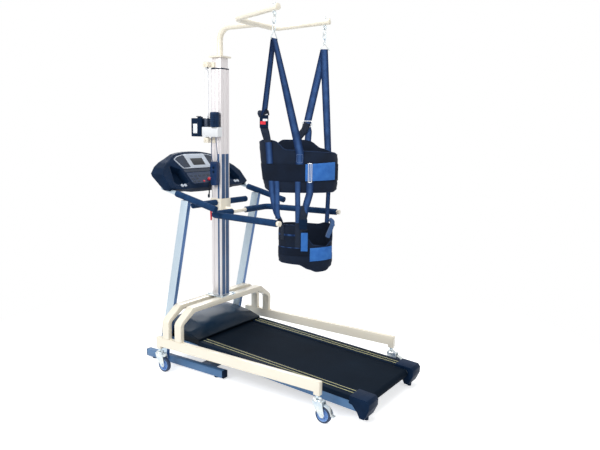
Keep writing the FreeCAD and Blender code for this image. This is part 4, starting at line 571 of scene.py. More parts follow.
# The control box's lid, glands and lever and the bands of the motor's cover: moulded
# in the same black ABS. A bare white polyester plate is stuck on the
# lid where a label would be, and one on the shoulder buckle.
white_label, tree, shader, place = surface("white_polyester_plate")
cloud = add(tree, "TexNoise", {"Vector": place, "Scale": 120.0, "Detail": 2.0})
tone = add(tree, "Mix", {0: cloud.outputs["Fac"], 6: "#F4F7F9", 7: "#E4EAEF"}, data_type="RGBA")
feed(tree, shader, Base_Color=tone.outputs[2], Roughness=0.3)
rounded_box("control_box_plate", here(-152, -92.4, 1652), (40, 1.2, 66), 0.5, white_label, "gantry")
rounded_box("control_box_lid", here(-117, -92.6, 1660), (30, 1.6, 112), 0.7, black_abs, "gantry")
for i, x in enumerate((-140, -122, -106)):
    rounded_box(f"control_box_gland_{i}", here(x, -72, 1727), (10, 12, 12), 2, black_abs, "gantry")
rounded_box("control_box_lever", here(-134, -74, 1736), (40, 6, 5), 2, black_abs, "gantry", turn=0.25)
for i in range(5):
    rounded_box(f"motor_band_{i}", here(22, -82, 1684 + 15 * i), (50, 67.2, 3), 1.2, black_abs, "gantry")

# Foam grips. Dense black rubber foam is pushed over the handrail, the cross bar
# and the handlebars; its cut skin is matt, finely pitted and a little uneven.
foam, tree, shader, place = surface("nitrile_foam_grip")
# Pits of about 2 mm in the cut foam.
pits = add(tree, "TexVoronoi", {"Vector": place, "Scale": 520.0})
swell = add(tree, "TexNoise", {"Vector": place, "Scale": 34.0, "Detail": 3.0})
tone = add(tree, "Mix", {0: swell.outputs["Fac"], 6: "#0E2442", 7: "#1D436E"}, data_type="RGBA")
rough_height = add(tree, "Math", {0: pits.outputs["Distance"], 1: swell.outputs["Fac"]}, operation="ADD")
bump = add(tree, "Bump", {"Strength": 0.35, "Distance": 0.0006, "Height": rough_height.outputs[0]})
feed(
    tree, shader, Base_Color=tone.outputs[2], Roughness=0.7, Specular_IOR_Level=0.1,
    Sheen_Weight=0.03, Sheen_Roughness=0.4, Normal=bump.outputs[0],
)


def bent_line(corners, bend, step=8.0):
    """Points along straight runs and round their corners, in millimetres."""
    corners = [Vector(corner) for corner in corners]
    path, last = [], corners[0]
    for before, corner, after in zip(corners, corners[1:], corners[2:]):
        back, onward = (before - corner).normalized(), (after - corner).normalized()
        half = back.angle(onward) / 2
        reach = bend / math.tan(half)
        start, stop = corner + back * reach, corner + onward * reach
        count = max(1, int((start - last).length / step))
        path += [last.lerp(start, i / count) for i in range(count)]
        middle = corner + (back + onward).normalized() * (bend / math.sin(half))
        for i in range(9):
            arm = (start - middle).slerp(stop - middle, i / 8)
            path.append(middle + arm.normalized() * bend)
        last = stop
        path.pop()
    count = max(1, int((corners[-1] - last).length / step))
    return path + [last.lerp(corners[-1], i / count) for i in range(count + 1)]


def grip(name, corners, bend, radius, bore, body, closed_end, seed):
    """A foam sleeve with soft ends and slightly uneven skin."""
    path = bent_line(corners, bend)
    profile = [(0, radius - 2.2), (0.6, radius - 0.9), (1.8, radius - 0.2)]
    lengths = [0.0]
    for a, b in zip(path, path[1:]):
        lengths.append(lengths[-1] + (b - a).length)
    end_run = 4
    stations = profile + [(d, radius) for d in lengths[1:-1] if end_run < d < lengths[-1] - end_run]
    stations += [(lengths[-1] - d, r) for d, r in reversed(profile)]

    def at(distance):
        for i in range(len(path) - 1):
            if lengths[i + 1] >= distance or i == len(path) - 2:
                share = (distance - lengths[i]) / (lengths[i + 1] - lengths[i])
                return path[i].lerp(path[i + 1], share), (path[i + 1] - path[i]).normalized()

    points, around = [], 28
    rows = [(stations[0][0], bore)] + stations + [(stations[-1][0], 0.0 if closed_end else bore)]
    for distance, r in rows:
        centre, along = at(distance)
        side = along.cross(up).normalized()
        over = side.cross(along)
        for j in range(around):
            angle = 2 * math.pi * j / around
            out = side * math.cos(angle) + over * math.sin(angle)
            wobble = 0.25 * noise.noise((centre + out * r) * 0.05 + Vector((seed, 0, 0)))
            reach = r + (wobble - 0.1 if r > bore else 0)
            points.append(here(*(centre + out * max(reach, 0.0))))
    made = piece(name, points, rings_to_faces(len(rows), around), foam, body)
    return made


foam_radius, rail_bend = 21.5, 42  # the foam bulges past its solid, as it does in the picture
cross_bar_end = 283
rail_tube, cross_tube = 14.3, 13
rail_start_left, rail_start_right = Vector((772.6, -351.8, rail_height)), Vector((772.6, 351.8, rail_height))
corner_left, corner_right = Vector((192, -298.2, rail_height)), Vector((192, 298.2, rail_height))
inward_left = (corner_left - rail_start_left).normalized()
inward_right = (corner_right - rail_start_right).normalized()
rail_grips = [
    grip(
        "rail_grip_left",
        [rail_start_left + inward_left * 16, corner_left, Vector((192, -102, rail_height))],
        rail_bend, foam_radius, rail_tube, "handrail", False, 1,
    ),
    grip(
        "rail_grip_right",
        [rail_start_right + inward_right * 16, corner_right, Vector((192, 42, rail_height))],
        rail_bend, foam_radius, rail_tube, "handrail", False, 2,
    ),
    grip(
        "cross_grip_left", [(0, -50.5, cross_bar_height), (0, -cross_bar_end, cross_bar_height)],
        10, foam_radius, cross_tube, "handrail", True, 3,
    ),
    grip(
        "cross_grip_right", [(0, 50.5, cross_bar_height), (0, cross_bar_end, cross_bar_height)],
        10, foam_radius, cross_tube, "handrail", True, 4,
    ),
]
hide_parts("rail_foams")
bar_root, bar_root_height, bar_tip, bar_tip_height = -190, 1251, 284, 1142
handlebar_slope = (bar_tip_height - bar_root_height) / (bar_tip - bar_root)
for label, y in (("left", -375), ("right", 375)):
    start, stop = (
        Vector((x, y, bar_root_height + (x - bar_root) * handlebar_slope)) for x in (-55, 289.8)
    )
    made = grip(
        "handlebar_grip_" + label, [start, stop], 10, foam_radius, rail_tube, "treadmill", True, 7 + y
    )
    if y < 0:
        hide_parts("handlebar_foams")

# The clamp lever: a red moulded handle on a steel screw. Dip-moulded PVC has a
# soft even gloss and a lighter worn tip.
red_pvc, tree, shader, place = surface("red_moulded_grip")
cloud = add(tree, "TexNoise", {"Vector": place, "Scale": 40.0, "Detail": 3.0})
tone = add(tree, "Mix", {0: cloud.outputs["Fac"], 6: "#D3122A", 7: "#F0283C"}, data_type="RGBA")
feed(tree, shader, Base_Color=tone.outputs[2], Roughness=0.3, Coat_Weight=0.3)
coat(red_pvc, "clamp_lever", "stop_button", "safety_key", edge_mm=1.0)

# Treadmill steelwork: silver-blue metallic paint on the uprights and handlebar
# tubes, darker blue paint on the floor tubes and the deck's beams. Metallic
# powder coat holds fine flakes that sparkle under the lamps.
silver_coat, tree, shader, place = surface("silver_blue_powder_coat")
# Flakes of 1.2 mm, coarser than the real 0.1 mm so that they show.
flake = add(tree, "TexVoronoi", {"Vector": place, "Scale": 800.0})
cloud = add(tree, "TexNoise", {"Vector": place, "Scale": 5.0, "Detail": 3.0})
face = add(tree, "NewGeometry", {}).outputs["Normal"]
part = add(tree, "SeparateXYZ", {"Vector": face})
# Painted shade: faces turned towards +X, away from the key lamp, take a darker blue in place of the pale
# silver.
painted_shade_on_x_faces = add(tree, "MapRange", {"Value": part.outputs["X"], "From Min": 0.5, "From Max": 0.9})
pale = add(tree, "Mix", {0: cloud.outputs["Fac"], 6: "#B4C8D8", 7: "#C9D7E0"}, data_type="RGBA")
tone = add(tree, "Mix", {0: painted_shade_on_x_faces.outputs["Result"], 6: pale.outputs[2], 7: "#5177AD"}, data_type="RGBA")
rough = add(tree, "MapRange", {"Value": flake.outputs["Distance"], "To Min": 0.28, "To Max": 0.46})
feed(
    tree, shader, Base_Color=tone.outputs[2], Metallic=0.45, Roughness=rough.outputs["Result"],
    Coat_Weight=0.2,
)
coat(silver_coat, "uprights", "handlebars", edge_mm=2.5)

# The floor tubes' and beams' enamel is plain blue, glossy, with a fine orange peel.
blue_coat, tree, shader, place = surface("blue_enamelled_steel")
cloud = add(tree, "TexNoise", {"Vector": place, "Scale": 7.0, "Detail": 4.0})
tone = add(tree, "Mix", {0: cloud.outputs["Fac"], 6: "#46709F", 7: "#6C90B8"}, data_type="RGBA")
peel = add(tree, "TexNoise", {"Vector": place, "Scale": 420.0})
bump = add(tree, "Bump", {"Strength": 0.06, "Distance": 0.0004, "Height": peel.outputs["Fac"]})
feed(
    tree, shader, Base_Color=tone.outputs[2], Roughness=0.38, Specular_IOR_Level=0.25,
    Normal=bump.outputs[0],
)
coat(blue_coat, "base_frame", "deck_frame", edge_mm=1.5)

# The console: a winged moulding in grained black plastic, with a silver sprayed
# bezel, a dark liquid crystal window, two tinted side windows and three rows of
# membrane keys below.
coat(black_abs, "console_housing", edge_mm=5.0)
silver_spray, tree, shader, place = surface("silver_sprayed_abs")
# Sprayed flakes of 1.1 mm, coarser than the real ones so that they show.
flake = add(tree, "TexNoise", {"Vector": place, "Scale": 900.0})
tone = add(tree, "Mix", {0: flake.outputs["Fac"], 6: "#A9B4C4", 7: "#CDD5DF"}, data_type="RGBA")
feed(tree, shader, Base_Color=tone.outputs[2], Metallic=0.4, Roughness=0.34)
coat(silver_spray, "console_fascia", edge_mm=1.2)

# The liquid crystal window: dark grey glass over a faint raster of cells.
lcd, tree, shader, place = surface("liquid_crystal_window")
cells = add(tree, "TexBrick", {
    "Vector": place, "Color1": "#22262C", "Color2": "#2A2F35", "Mortar": "#33383E",
    "Scale": 120.0, "Mortar Size": 0.02,
})
feed(tree, shader, Base_Color=cells.outputs["Color"], Roughness=0.16, Specular_IOR_Level=0.2,
     Coat_Weight=0.15, Coat_Roughness=0.05)
coat(lcd, "display_screen", edge_mm=0.4)

# Tinted acrylic: nearly black, and smooth enough to hold a blue glint.
window_tint, tree, shader, place = surface("tinted_acrylic_window")
cloud = add(tree, "TexNoise", {"Vector": place, "Scale": 30.0})
tone = add(tree, "Mix", {0: cloud.outputs["Fac"], 6: "#0B1828", 7: "#16304E"}, data_type="RGBA")
feed(tree, shader, Base_Color=tone.outputs[2], Roughness=0.14, Specular_IOR_Level=0.4)

tilt = math.radians(42)
face_out = Vector((math.cos(tilt), 0, math.sin(tilt)))
face_up = Vector((-math.sin(tilt), 0, math.cos(tilt)))


def on_console(across, up, out):
    """A place on the sloping console face, in millimetres from its lower edge."""
    return here(-70, 0, 1245) + (face_out * out + face_up * up + Vector((0, across, 0))) / 1000


def face_panel(name, outline, thick, out, material):
    """A thin panel on the console face, from its outline in (across, up)."""
    count = len(outline)
    mid_across = sum(a for a, _ in outline) / count
    mid_up = sum(u for _, u in outline) / count
    points = []
    for inset, level_out in ((0, out), (0, out + thick * 0.6), (0.8, out + thick)):
        for a, u in outline:
            da, du = a - mid_across, u - mid_up
            size = math.hypot(da, du)
            points.append(on_console(a - da / size * inset, u - du / size * inset, level_out))
    faces = rings_to_faces(3, count)
    faces.append(tuple(2 * count + i for i in range(count)))
    faces.append(tuple(reversed(range(count))))
    return piece(name, points, faces, material, "treadmill", smooth=False)


# The keypad's printed film is slate blue and a little paler than its keys.
keypad_film, tree, shader, place = surface("slate_blue_keypad_film")
cloud = add(tree, "TexNoise", {"Vector": place, "Scale": 22.0, "Detail": 3.0})
tone = add(tree, "Mix", {0: cloud.outputs["Fac"], 6: "#122440", 7: "#1F3C60"}, data_type="RGBA")
feed(tree, shader, Base_Color=tone.outputs[2], Roughness=0.3, Specular_IOR_Level=0.4)
stud_radius = 12.5
disc = [
    (stud_radius * math.cos(math.pi * i / 8), stud_radius * math.sin(math.pi * i / 8)) for i in range(16)
]
for label, sign in (("left", -1), ("right", 1)):
    outline = [(106, 178), (176, 175), (213, 254), (176, 274), (122, 288), (106, 288)]
    if sign < 0:
        outline = [(-a, u) for a, u in reversed(outline)]
    face_panel(f"side_window_{label}", outline, 1.2, 4.2, window_tint)
    for number, across in enumerate((262, 292)):
        stud = [(sign * across + a, 27 + u) for a, u in disc]
        face_panel(f"tray_stud_{label}_{number}", stud, 5, -0.5, silver_spray)
face_panel("display_band", [(-186, 137), (186, 137), (190, 163), (-190, 163)], 1.0, 0.1, window_tint)
face_panel(
    "keypad_panel",
    [(-166, 37), (166, 37), (178, 50), (182, 120), (172, 133), (-172, 133), (-182, 120), (-178, 50)],
    0.25, 0.02, keypad_film,
)
for row, low in enumerate((46, 70, 94)):
    for number in range(8):
        across = -154 + 44 * number
        if abs(across + 22) < 58 and low < 90:
            continue
        face_panel(
            f"membrane_key_{row}_{number}",
            [(across - 13, low), (across + 13, low), (across + 13, low + 14), (across - 13, low + 14)],
            0.8, 0.2, window_tint,
        )

# The motor hood: a glossy black ABS moulding with a painted highlight: its colour
# runs from dark low down to blue on its top, where the studio shines. It has a
# moulded part line low down and a bare oval plate stuck on top.
hood_gloss, tree, shader, place = surface("polished_black_abs")
cloud = add(tree, "TexNoise", {"Vector": place, "Scale": 40.0, "Detail": 3.0})
height = add(tree, "SeparateXYZ", {"Vector": place}).outputs["Z"]
# Painted highlight: the colour turns from dark to blue between 220 and 330 mm up.
rise = add(tree, "MapRange", {"Value": height, "From Min": 0.22, "From Max": 0.33})
tone = add(tree, "Mix", {0: rise.outputs["Result"], 6: "#0E1822", 7: "#24425F"}, data_type="RGBA")
seam = add(tree, "Math", {0: height, 1: 0.2135, 2: 0.0012}, operation="COMPARE")  # 2.4 mm part line
lined = add(tree, "Mix", {0: seam.outputs[0], 6: tone.outputs[2], 7: "#02050A"}, data_type="RGBA")
rough = add(tree, "MapRange", {"Value": cloud.outputs["Fac"], "To Min": 0.26, "To Max": 0.36})
feed(
    tree, shader, Base_Color=lined.outputs[2], Roughness=rough.outputs["Result"], Specular_IOR_Level=0.1,
    Coat_Weight=0.04, Coat_Roughness=0.1,
)
coat(hood_gloss, "motor_hood", edge_mm=6.0)
plate = []
for inset, height in ((0, 325.0), (0, 326.0), (0.8, 326.5)):
    for i in range(32):
        angle = math.pi * i / 16
        along, across = (13 - inset) * math.cos(angle), (26 - inset) * math.sin(angle)
        plate.append(here(-170 + along, -22 + across, height))
faces = rings_to_faces(3, 32)
faces += [tuple(64 + i for i in range(32)), tuple(reversed(range(32)))]
piece("hood_plate", plate, faces, silver_spray, "treadmill", smooth=False)

# The running belt: two-ply PVC with a fine diamond emboss, over a dark waxed
# board, between moulded side rails that carry two pale yellow lines each.
belt_pvc, tree, shader, place = surface("embossed_belt_pvc")
turned_place = add(tree, "Mapping", {"Vector": place, "Rotation": (0, 0, math.radians(45))})
# An embossed diamond of about 3 mm.
checks = add(tree, "TexVoronoi", {"Vector": turned_place.outputs[0], "Scale": 330.0}, distance="CHEBYCHEV")
cloud = add(tree, "TexNoise", {"Vector": place, "Scale": 3.0, "Detail": 5.0})
fleck = add(tree, "TexNoise", {"Vector": place, "Scale": 900.0})
both = add(tree, "Math", {0: cloud.outputs["Fac"], 1: fleck.outputs["Fac"]}, operation="MULTIPLY")
tone = add(tree, "Mix", {0: both.outputs[0], 6: "#070E17", 7: "#1B2A3A"}, data_type="RGBA")
bump = add(tree, "Bump", {"Strength": 0.4, "Distance": 0.0005, "Height": checks.outputs["Distance"]})
feed(
    tree, shader, Base_Color=tone.outputs[2], Roughness=0.7, Specular_IOR_Level=0.03,
    Normal=bump.outputs[0],
)
coat(belt_pvc, "running_belt", edge_mm=0)

# The deck board is plywood with a dark waxed face, seen only as a thin edge.
board_ply, tree, shader, place = surface("waxed_deck_board")
grain = add(tree, "Mapping", {"Vector": place, "Scale": (3.0, 90.0, 300.0)})
plies = add(tree, "TexNoise", {"Vector": grain.outputs[0], "Scale": 1.0, "Detail": 4.0})
tone = add(tree, "Mix", {0: plies.outputs["Fac"], 6: "#151B22", 7: "#262D36"}, data_type="RGBA")
feed(tree, shader, Base_Color=tone.outputs[2], Roughness=0.6)
coat(board_ply, "deck_board", edge_mm=0)

rail_abs, tree, shader, place = surface("ribbed_side_rail_abs")
# Mould grain of about 2 mm.
grain = add(tree, "TexVoronoi", {"Vector": place, "Scale": 500.0})
cloud = add(tree, "TexNoise", {"Vector": place, "Scale": 5.0, "Detail": 3.0})
tone = add(tree, "Mix", {0: cloud.outputs["Fac"], 6: "#08121E", 7: "#122336"}, data_type="RGBA")
bump = add(tree, "Bump", {"Strength": 0.3, "Distance": 0.0004, "Height": grain.outputs["Distance"]})
feed(
    tree, shader, Base_Color=tone.outputs[2], Roughness=0.5, Specular_IOR_Level=0.04,
    Normal=bump.outputs[0],
)
coat(rail_abs, "side_rails", edge_mm=0.8)

slope, deck_start, deck_height = math.radians(3.5), 72, 215.7


def on_deck(x, y, z):
    """A place on the sloping deck, in millimetres from its front edge."""
    level_x = x * math.cos(slope) + z * math.sin(slope)
    return here(deck_start + level_x, y, deck_height - x * math.sin(slope) + z * math.cos(slope))


# The lines are screen printed in pale yellow ink, a little rubbed.
line_ink, tree, shader, place = surface("pale_yellow_line_ink")
rub = add(tree, "TexNoise", {"Vector": place, "Scale": 60.0, "Detail": 5.0})
tone = add(tree, "Mix", {0: rub.outputs["Fac"], 6: "#E2E0A2", 7: "#CDCB92"}, data_type="RGBA")
feed(tree, shader, Base_Color=tone.outputs[2], Roughness=0.5)
lines, faces = [], []
line_start, line_end = 34, 1216
for side in (-1, 1):
    for y in (272, 303):
        first = len(lines)
        for x in (line_start, line_end):
            for across, rise in ((-1.8, 0.05), (-1.3, 0.5), (1.3, 0.5), (1.8, 0.05)):
                lines.append(on_deck(x, side * y + across, rise))
        faces += bar_faces(first)
piece("side_rail_lines", lines, faces, line_ink, "treadmill", smooth=False)

# Harness webbing: woven navy polyester, 50 mm wide and ribbed across, with a
# selvedge down each side, and a painted satin highlight: lighter down the middle and in soft clouds.
webbing, tree, shader, metres = surface("navy_polyester_webbing", cloth=True)
across = add(tree, "SeparateXYZ", {"Vector": metres})
# Weft ribs about 1 mm apart.
ribs = add(tree, "TexWave", {"Vector": metres, "Scale": 330.0, "Distortion": 0.6}, bands_direction="Y")
# Painted highlight: one wave across the width lightens the strap's middle and darkens its edges, and clouds
# of painted sheen vary it.
painted_highlight_wave = add(tree, "TexWave", {"Vector": metres, "Scale": 6.3}, bands_direction="X")  # one in 50 mm
painted_sheen_clouds = add(tree, "TexNoise", {"Vector": metres, "Scale": 14.0, "Detail": 3.0})
middle = add(tree, "Math", {0: 1.0, 1: painted_highlight_wave.outputs["Fac"]}, operation="SUBTRACT")
painted_highlight_tone = add(tree, "Math", {0: middle.outputs[0], 1: painted_sheen_clouds.outputs["Fac"]}, operation="MULTIPLY")
tone = add(tree, "Mix", {0: painted_highlight_tone.outputs[0], 6: "#10274E", 7: "#4A70AC"}, data_type="RGBA")
bump = add(tree, "Bump", {"Strength": 0.5, "Distance": 0.0006, "Height": ribs.outputs["Fac"]})
feed(
    tree, shader, Base_Color=tone.outputs[2], Roughness=0.55, Specular_IOR_Level=0.1,
    Sheen_Weight=0.03, Sheen_Roughness=0.35, Normal=bump.outputs[0],
)

turn = math.radians(34)
long_way = Vector((math.cos(turn), math.sin(turn), 0))
short_way = Vector((-math.sin(turn), math.cos(turn), 0))


def at_harness(along, across, height):
    """A place by its millimetres along and across the harness, and its height."""
    return here(665, 0, height) + (long_way * along + short_way * across) / 1000


def strap(name, route, width, material, body="harness", thick=2.6, step=0.006):
    """Webbing along (place, width direction) pairs, rounded at its selvedges."""
    path = []
    for (a, way_a), (b, way_b) in zip(route, route[1:]):
        count = max(2, int((b - a).length / step))
        path += [(a.lerp(b, i / count), Vector(way_a).lerp(Vector(way_b), i / count)) for i in range(count)]
    path.append((route[-1][0], Vector(route[-1][1])))
    half, thin, selvedge = width / 2000, thick / 2000, 0.0008
    under = [
        (-half, -thin * 0.4), (-half + selvedge, -thin), (-half * 0.33, -thin), (half * 0.33, -thin),
        (half - selvedge, -thin), (half, -thin * 0.4),
    ]
    section = under + [(x, -y) for x, y in reversed(under)]
    points, uvs, run = [], [], 0.0
    for i, (at, way) in enumerate(path):
        ahead_at = path[min(i + 1, len(path) - 1)][0]
        behind_at = path[max(i - 1, 0)][0]
        along = (ahead_at - behind_at).normalized()
        side = (way - along * way.dot(along)).normalized()
        out = along.cross(side)
        run += 0.0 if i == 0 else (at - path[i - 1][0]).length
        for x, y in section:
            points.append(at + side * x + out * y)
            uvs.append((x, run))
    around = len(section)
    faces = rings_to_faces(len(path), around)
    faces.append(tuple(reversed(range(around))))
    faces.append(tuple((len(path) - 1) * around + j for j in range(around)))
    made = piece(name, points, faces, material, body, uvs=uvs)
    made.modifiers.new("smooth", "EDGE_SPLIT").split_angle = math.radians(60)
    return made


def vest_lean(share, height):
    """How far the vest's left end draws in towards the waist, in millimetres."""
    return max(0.0, -share) ** 2 * max(0.0, 1576 - height) * 0.125


def no_lean(share, height):
    """A band that hangs straight."""
    return 0.0


def oval_place(oval, along, side, out, height):
    """A place outside an oval band, with the direction along the band there."""
    offset, half_length, half_depth, lean = oval
    half_length, half_depth = half_length + out, half_depth + out
    share = (along - offset) / half_length
    root = math.sqrt(max(0.0, 1 - share * share))
    way = long_way * (half_length * root) - short_way * (side * half_depth * share)
    return at_harness(along + lean(share, height), side * half_depth * root, height), way.normalized()


vest_oval, band_oval = (0, 256, 142, vest_lean), (55, 178, 105, no_lean)
belt_top, belt_foot, vest_foot = 1439, 1331, 1256
near_ring, far_ring = here(670.3, -281.2, 2180), here(670.3, 281.2, 2180)


def over_ring(ring, way):
    """The turn of webbing over a ring's bottom bar, from one side to the other."""
    out, bar_radius = way.cross(up).normalized(), 0.0047
    return [
        (ring + (out * math.cos(a) + up * math.sin(a)) * bar_radius, way)
        for a in [math.pi * i / 8 for i in range(9)]
    ]


def sewn_run(oval, along, side, high, low, out=1.9):
    """Places down the outside of a band, for webbing that is sewn on it."""
    run = []
    for i in range(9):
        run.append(oval_place(oval, along, side, out, high + (low - high) * i / 8))
    return run


# The straps' tails and folds are black polyester of the same weave, duller than the navy.
black_webbing, tree, shader, metres = surface("black_polyester_webbing", cloth=True)
# Weft ribs about 1 mm apart.
ribs = add(tree, "TexWave", {"Vector": metres, "Scale": 330.0, "Distortion": 0.6}, bands_direction="Y")
cloud = add(tree, "TexNoise", {"Vector": metres, "Scale": 30.0, "Detail": 3.0})
tone = add(tree, "Mix", {0: cloud.outputs["Fac"], 6: "#07101C", 7: "#142640"}, data_type="RGBA")
bump = add(tree, "Bump", {"Strength": 0.45, "Distance": 0.0006, "Height": ribs.outputs["Fac"]})
feed(
    tree, shader, Base_Color=tone.outputs[2], Roughness=0.6, Specular_IOR_Level=0.25,
    Sheen_Weight=0.08, Sheen_Roughness=0.4, Normal=bump.outputs[0],
)
buckle_a, buckle_c = at_harness(-216, -112, 1700), at_harness(56, 152, 1692)
over_near = over_ring(near_ring, y_way)
over_far = over_ring(far_ring, long_way)
strap(
    "strap_front_left",
    [(buckle_a + up * 0.040, short_way * 0.75 + long_way * 0.66), over_near[-1]], 50, webbing,
)
strap("strap_front_right", over_near[::-1] + sewn_run(vest_oval, 10, -1, 1512, belt_top, 2.4), 50, webbing)
strap(
    "strap_front_left_tail",
    [(buckle_a - up * 0.034, long_way), (at_harness(-206, -113, 1630), long_way),
     oval_place(vest_oval, -192, -1, 3.0, 1572)],
    50, black_webbing,
)
strap("strap_front_left_patch", sewn_run(vest_oval, -188, -1, 1572, belt_top, 2.4), 50, webbing)
strap(
    "strap_front_left_fold",
    [(buckle_a + (long_way * -6 - short_way * 9) / 1000 + up * 0.036, long_way),
     (buckle_a + (long_way * -14 - short_way * 12) / 1000 + up * 0.052, long_way),
     (buckle_a + (long_way * -10 + short_way * 2) / 1000 + up * 0.066, long_way),
     (buckle_a + (long_way * 4 + short_way * 9) / 1000 + up * 0.056, long_way),
     (buckle_a + (long_way * 6 + short_way * 9) / 1000 + up * 0.036, long_way)],
    54, black_webbing,
)
strap("strap_back_left", [over_far[-1], (buckle_c + up * 0.004, long_way)], 50, webbing)
strap(
    "strap_back_left_tail",
    [(buckle_c - up * 0.004, long_way), (at_harness(66, 154, 1640), long_way)]
    + sewn_run(vest_oval, 62, 1, 1580, belt_top, 2.4),
    44, webbing,
)
strap(
    "strap_back_left_end",
    [(buckle_c + (short_way * -3) / 1000 + up * 0.006, long_way), (at_harness(38, 148, 1650), long_way),
     (at_harness(2, 146, 1605), long_way), (at_harness(-6, 143, 1570), long_way)],
    46, black_webbing,
)
back_right = strap(
    "strap_back_right", over_far[::-1] + sewn_run(vest_oval, 196, 1, 1504, belt_top, 2.4), 50, webbing
)
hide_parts("suspension_straps")

# The vest: two layers of laminated foam in black nylon, cut high at the chest,
# bound round its edges and shut by a wide elastic belt with a hook-and-loop end.
laminate, tree, shader, metres = surface("nylon_faced_foam", cloth=True)
# A knit of 2.4 mm, coarser than the real one so that it shows.
knit = add(tree, "TexVoronoi", {"Vector": metres, "Scale": 420.0}, voronoi_dimensions="2D")
cloud = add(tree, "TexNoise", {"Vector": metres, "Scale": 11.0, "Detail": 5.0})
tone = add(tree, "Mix", {0: cloud.outputs["Fac"], 6: "#060D18", 7: "#14243C"}, data_type="RGBA")
both = add(tree, "Math", {0: knit.outputs["Distance"], 1: cloud.outputs["Fac"]}, operation="ADD")
bump = add(tree, "Bump", {"Strength": 0.4, "Distance": 0.0007, "Height": both.outputs[0]})
feed(
    tree, shader, Base_Color=tone.outputs[2], Roughness=0.8, Specular_IOR_Level=0.18,
    Sheen_Weight=0.06, Sheen_Roughness=0.5, Normal=bump.outputs[0],
)

# The binding is grosgrain tape, folded over the foam's edge and stitched down.
binding, tree, shader, metres = surface("edge_binding_tape", cloth=True)
# Ribs of the tape about 1 mm apart.
ribs = add(tree, "TexWave", {"Vector": metres, "Scale": 300.0}, bands_direction="X")
tone = add(tree, "Mix", {0: ribs.outputs["Fac"], 6: "#0B1830", 7: "#1C3558"}, data_type="RGBA")
bump = add(tree, "Bump", {"Strength": 0.3, "Distance": 0.0004, "Height": ribs.outputs["Fac"]})
feed(
    tree, shader, Base_Color=tone.outputs[2], Roughness=0.7, Specular_IOR_Level=0.2,
    Normal=bump.outputs[0],
)


def edge_height(outline, along):
    """The height of an outline's edge at a place along the harness."""
    for (a, za), (b, zb) in zip(outline, outline[1:]):
        if a <= along <= b:
            t = (along - a) / (b - a)
            t = t * t * (3 - 2 * t)
            return za + (zb - za) * t
    return outline[0][1] if along < outline[0][0] else outline[-1][1]


def softened(values, passes):
    """A closed row of heights, smoothed a few times."""
    for _ in range(passes):
        values = [
            (values[i - 1] + 2 * values[i] + values[(i + 1) % len(values)]) / 4 for i in range(len(values))
        ]
    return values


def padded_wrap(name, oval, near_top, near_low, far_top, far_low, thick, squeeze, passes=3):
    """A foam wrap round an oval, thinner at its bound edges and nipped in under its straps."""
    columns, rows = 220, 26
    edge_share, swell_rate = 0.32, 5.5  # how thin the foam is at its binding, and how fast it fills out
    offset, half_length, half_depth, lean = oval
    angles = [2 * math.pi * i / columns for i in range(columns)]
    tops, lows = [], []
    for angle in angles:
        along = offset + half_length * math.cos(angle)
        near = math.sin(angle) < 0
        tops.append(edge_height(near_top if near else far_top, along))
        lows.append(edge_height(near_low if near else far_low, along))
    tops, lows = softened(tops, passes), softened(lows, passes)
    points, uvs, edge_top, edge_low = [], [], [], []
    run, last = 0.0, None
    for angle, top, low in zip(angles, tops, lows):
        centre = Vector((offset + half_length * math.cos(angle), half_depth * math.sin(angle), 0))
        out = Vector((half_depth * math.cos(angle), half_length * math.sin(angle), 0)).normalized()
        run += 0.0 if last is None else (centre - last).length / 1000
        last = centre
        section, tapers = [], []
        for j in range(rows):
            v = j / (rows - 1)
            height = low + (top - low) * v
            taper = min(1.0, edge_share + swell_rate * min(v, 1 - v))
            tapers.append(taper)
            nip = squeeze(centre.x, height, math.sin(angle) < 0)
            ripple = 0.9 * noise.noise(Vector((run * 22, height * 0.02, oval[0])))
            section.append((height, -thick / 2 + thick / 2 * taper + nip * taper + ripple * taper))
        inner = [(height, -thick / 2 - thick / 2 * taper) for (height, _), taper in zip(section, tapers)]
        for height, depth in section + inner[::-1]:
            at = centre + out * depth
            points.append(at_harness(at.x + lean(math.cos(angle), height), at.y, height))
            uvs.append((run, height / 1000))
        middle = centre + out * (-thick / 2)
        edge_top.append(at_harness(middle.x + lean(math.cos(angle), top), middle.y, top))
        edge_low.append(at_harness(middle.x + lean(math.cos(angle), low), middle.y, low))
    faces = rings_to_faces(columns, 2 * rows, closed_length=True)
    made = piece(name, points, [tuple(reversed(face)) for face in faces], laminate, "harness", uvs=uvs)
    for label, edge_path in (("top", edge_top), ("low", edge_low)):
        tape, tape_uvs, distance, around = [], [], 0.0, 10
        for i, at in enumerate(edge_path):
            along = (edge_path[(i + 1) % columns] - edge_path[i - 1]).normalized()
            side = along.cross(up).normalized()
            over = side.cross(along)
            distance += (at - edge_path[i - 1]).length if i else 0.0
            for j in range(around):
                angle = 2 * math.pi * j / around
                tape.append(at + side * (0.0042 * math.cos(angle)) + over * (0.0030 * math.sin(angle)))
                tape_uvs.append((distance, j * 0.002))
        bound = piece(
            f"{name}_binding_{label}", tape, rings_to_faces(columns, around, closed_length=True), binding,
            "harness", uvs=tape_uvs,
        )
    return made


def vest_squeeze(along, height, near):
    """How far the belt presses the vest in, and the foam swells beside it."""
    middle = abs(height - 1385)
    if middle < 56:
        return -2.2
    return 1.2 * math.exp(-((middle - 72) / 22) ** 2) - 0.4


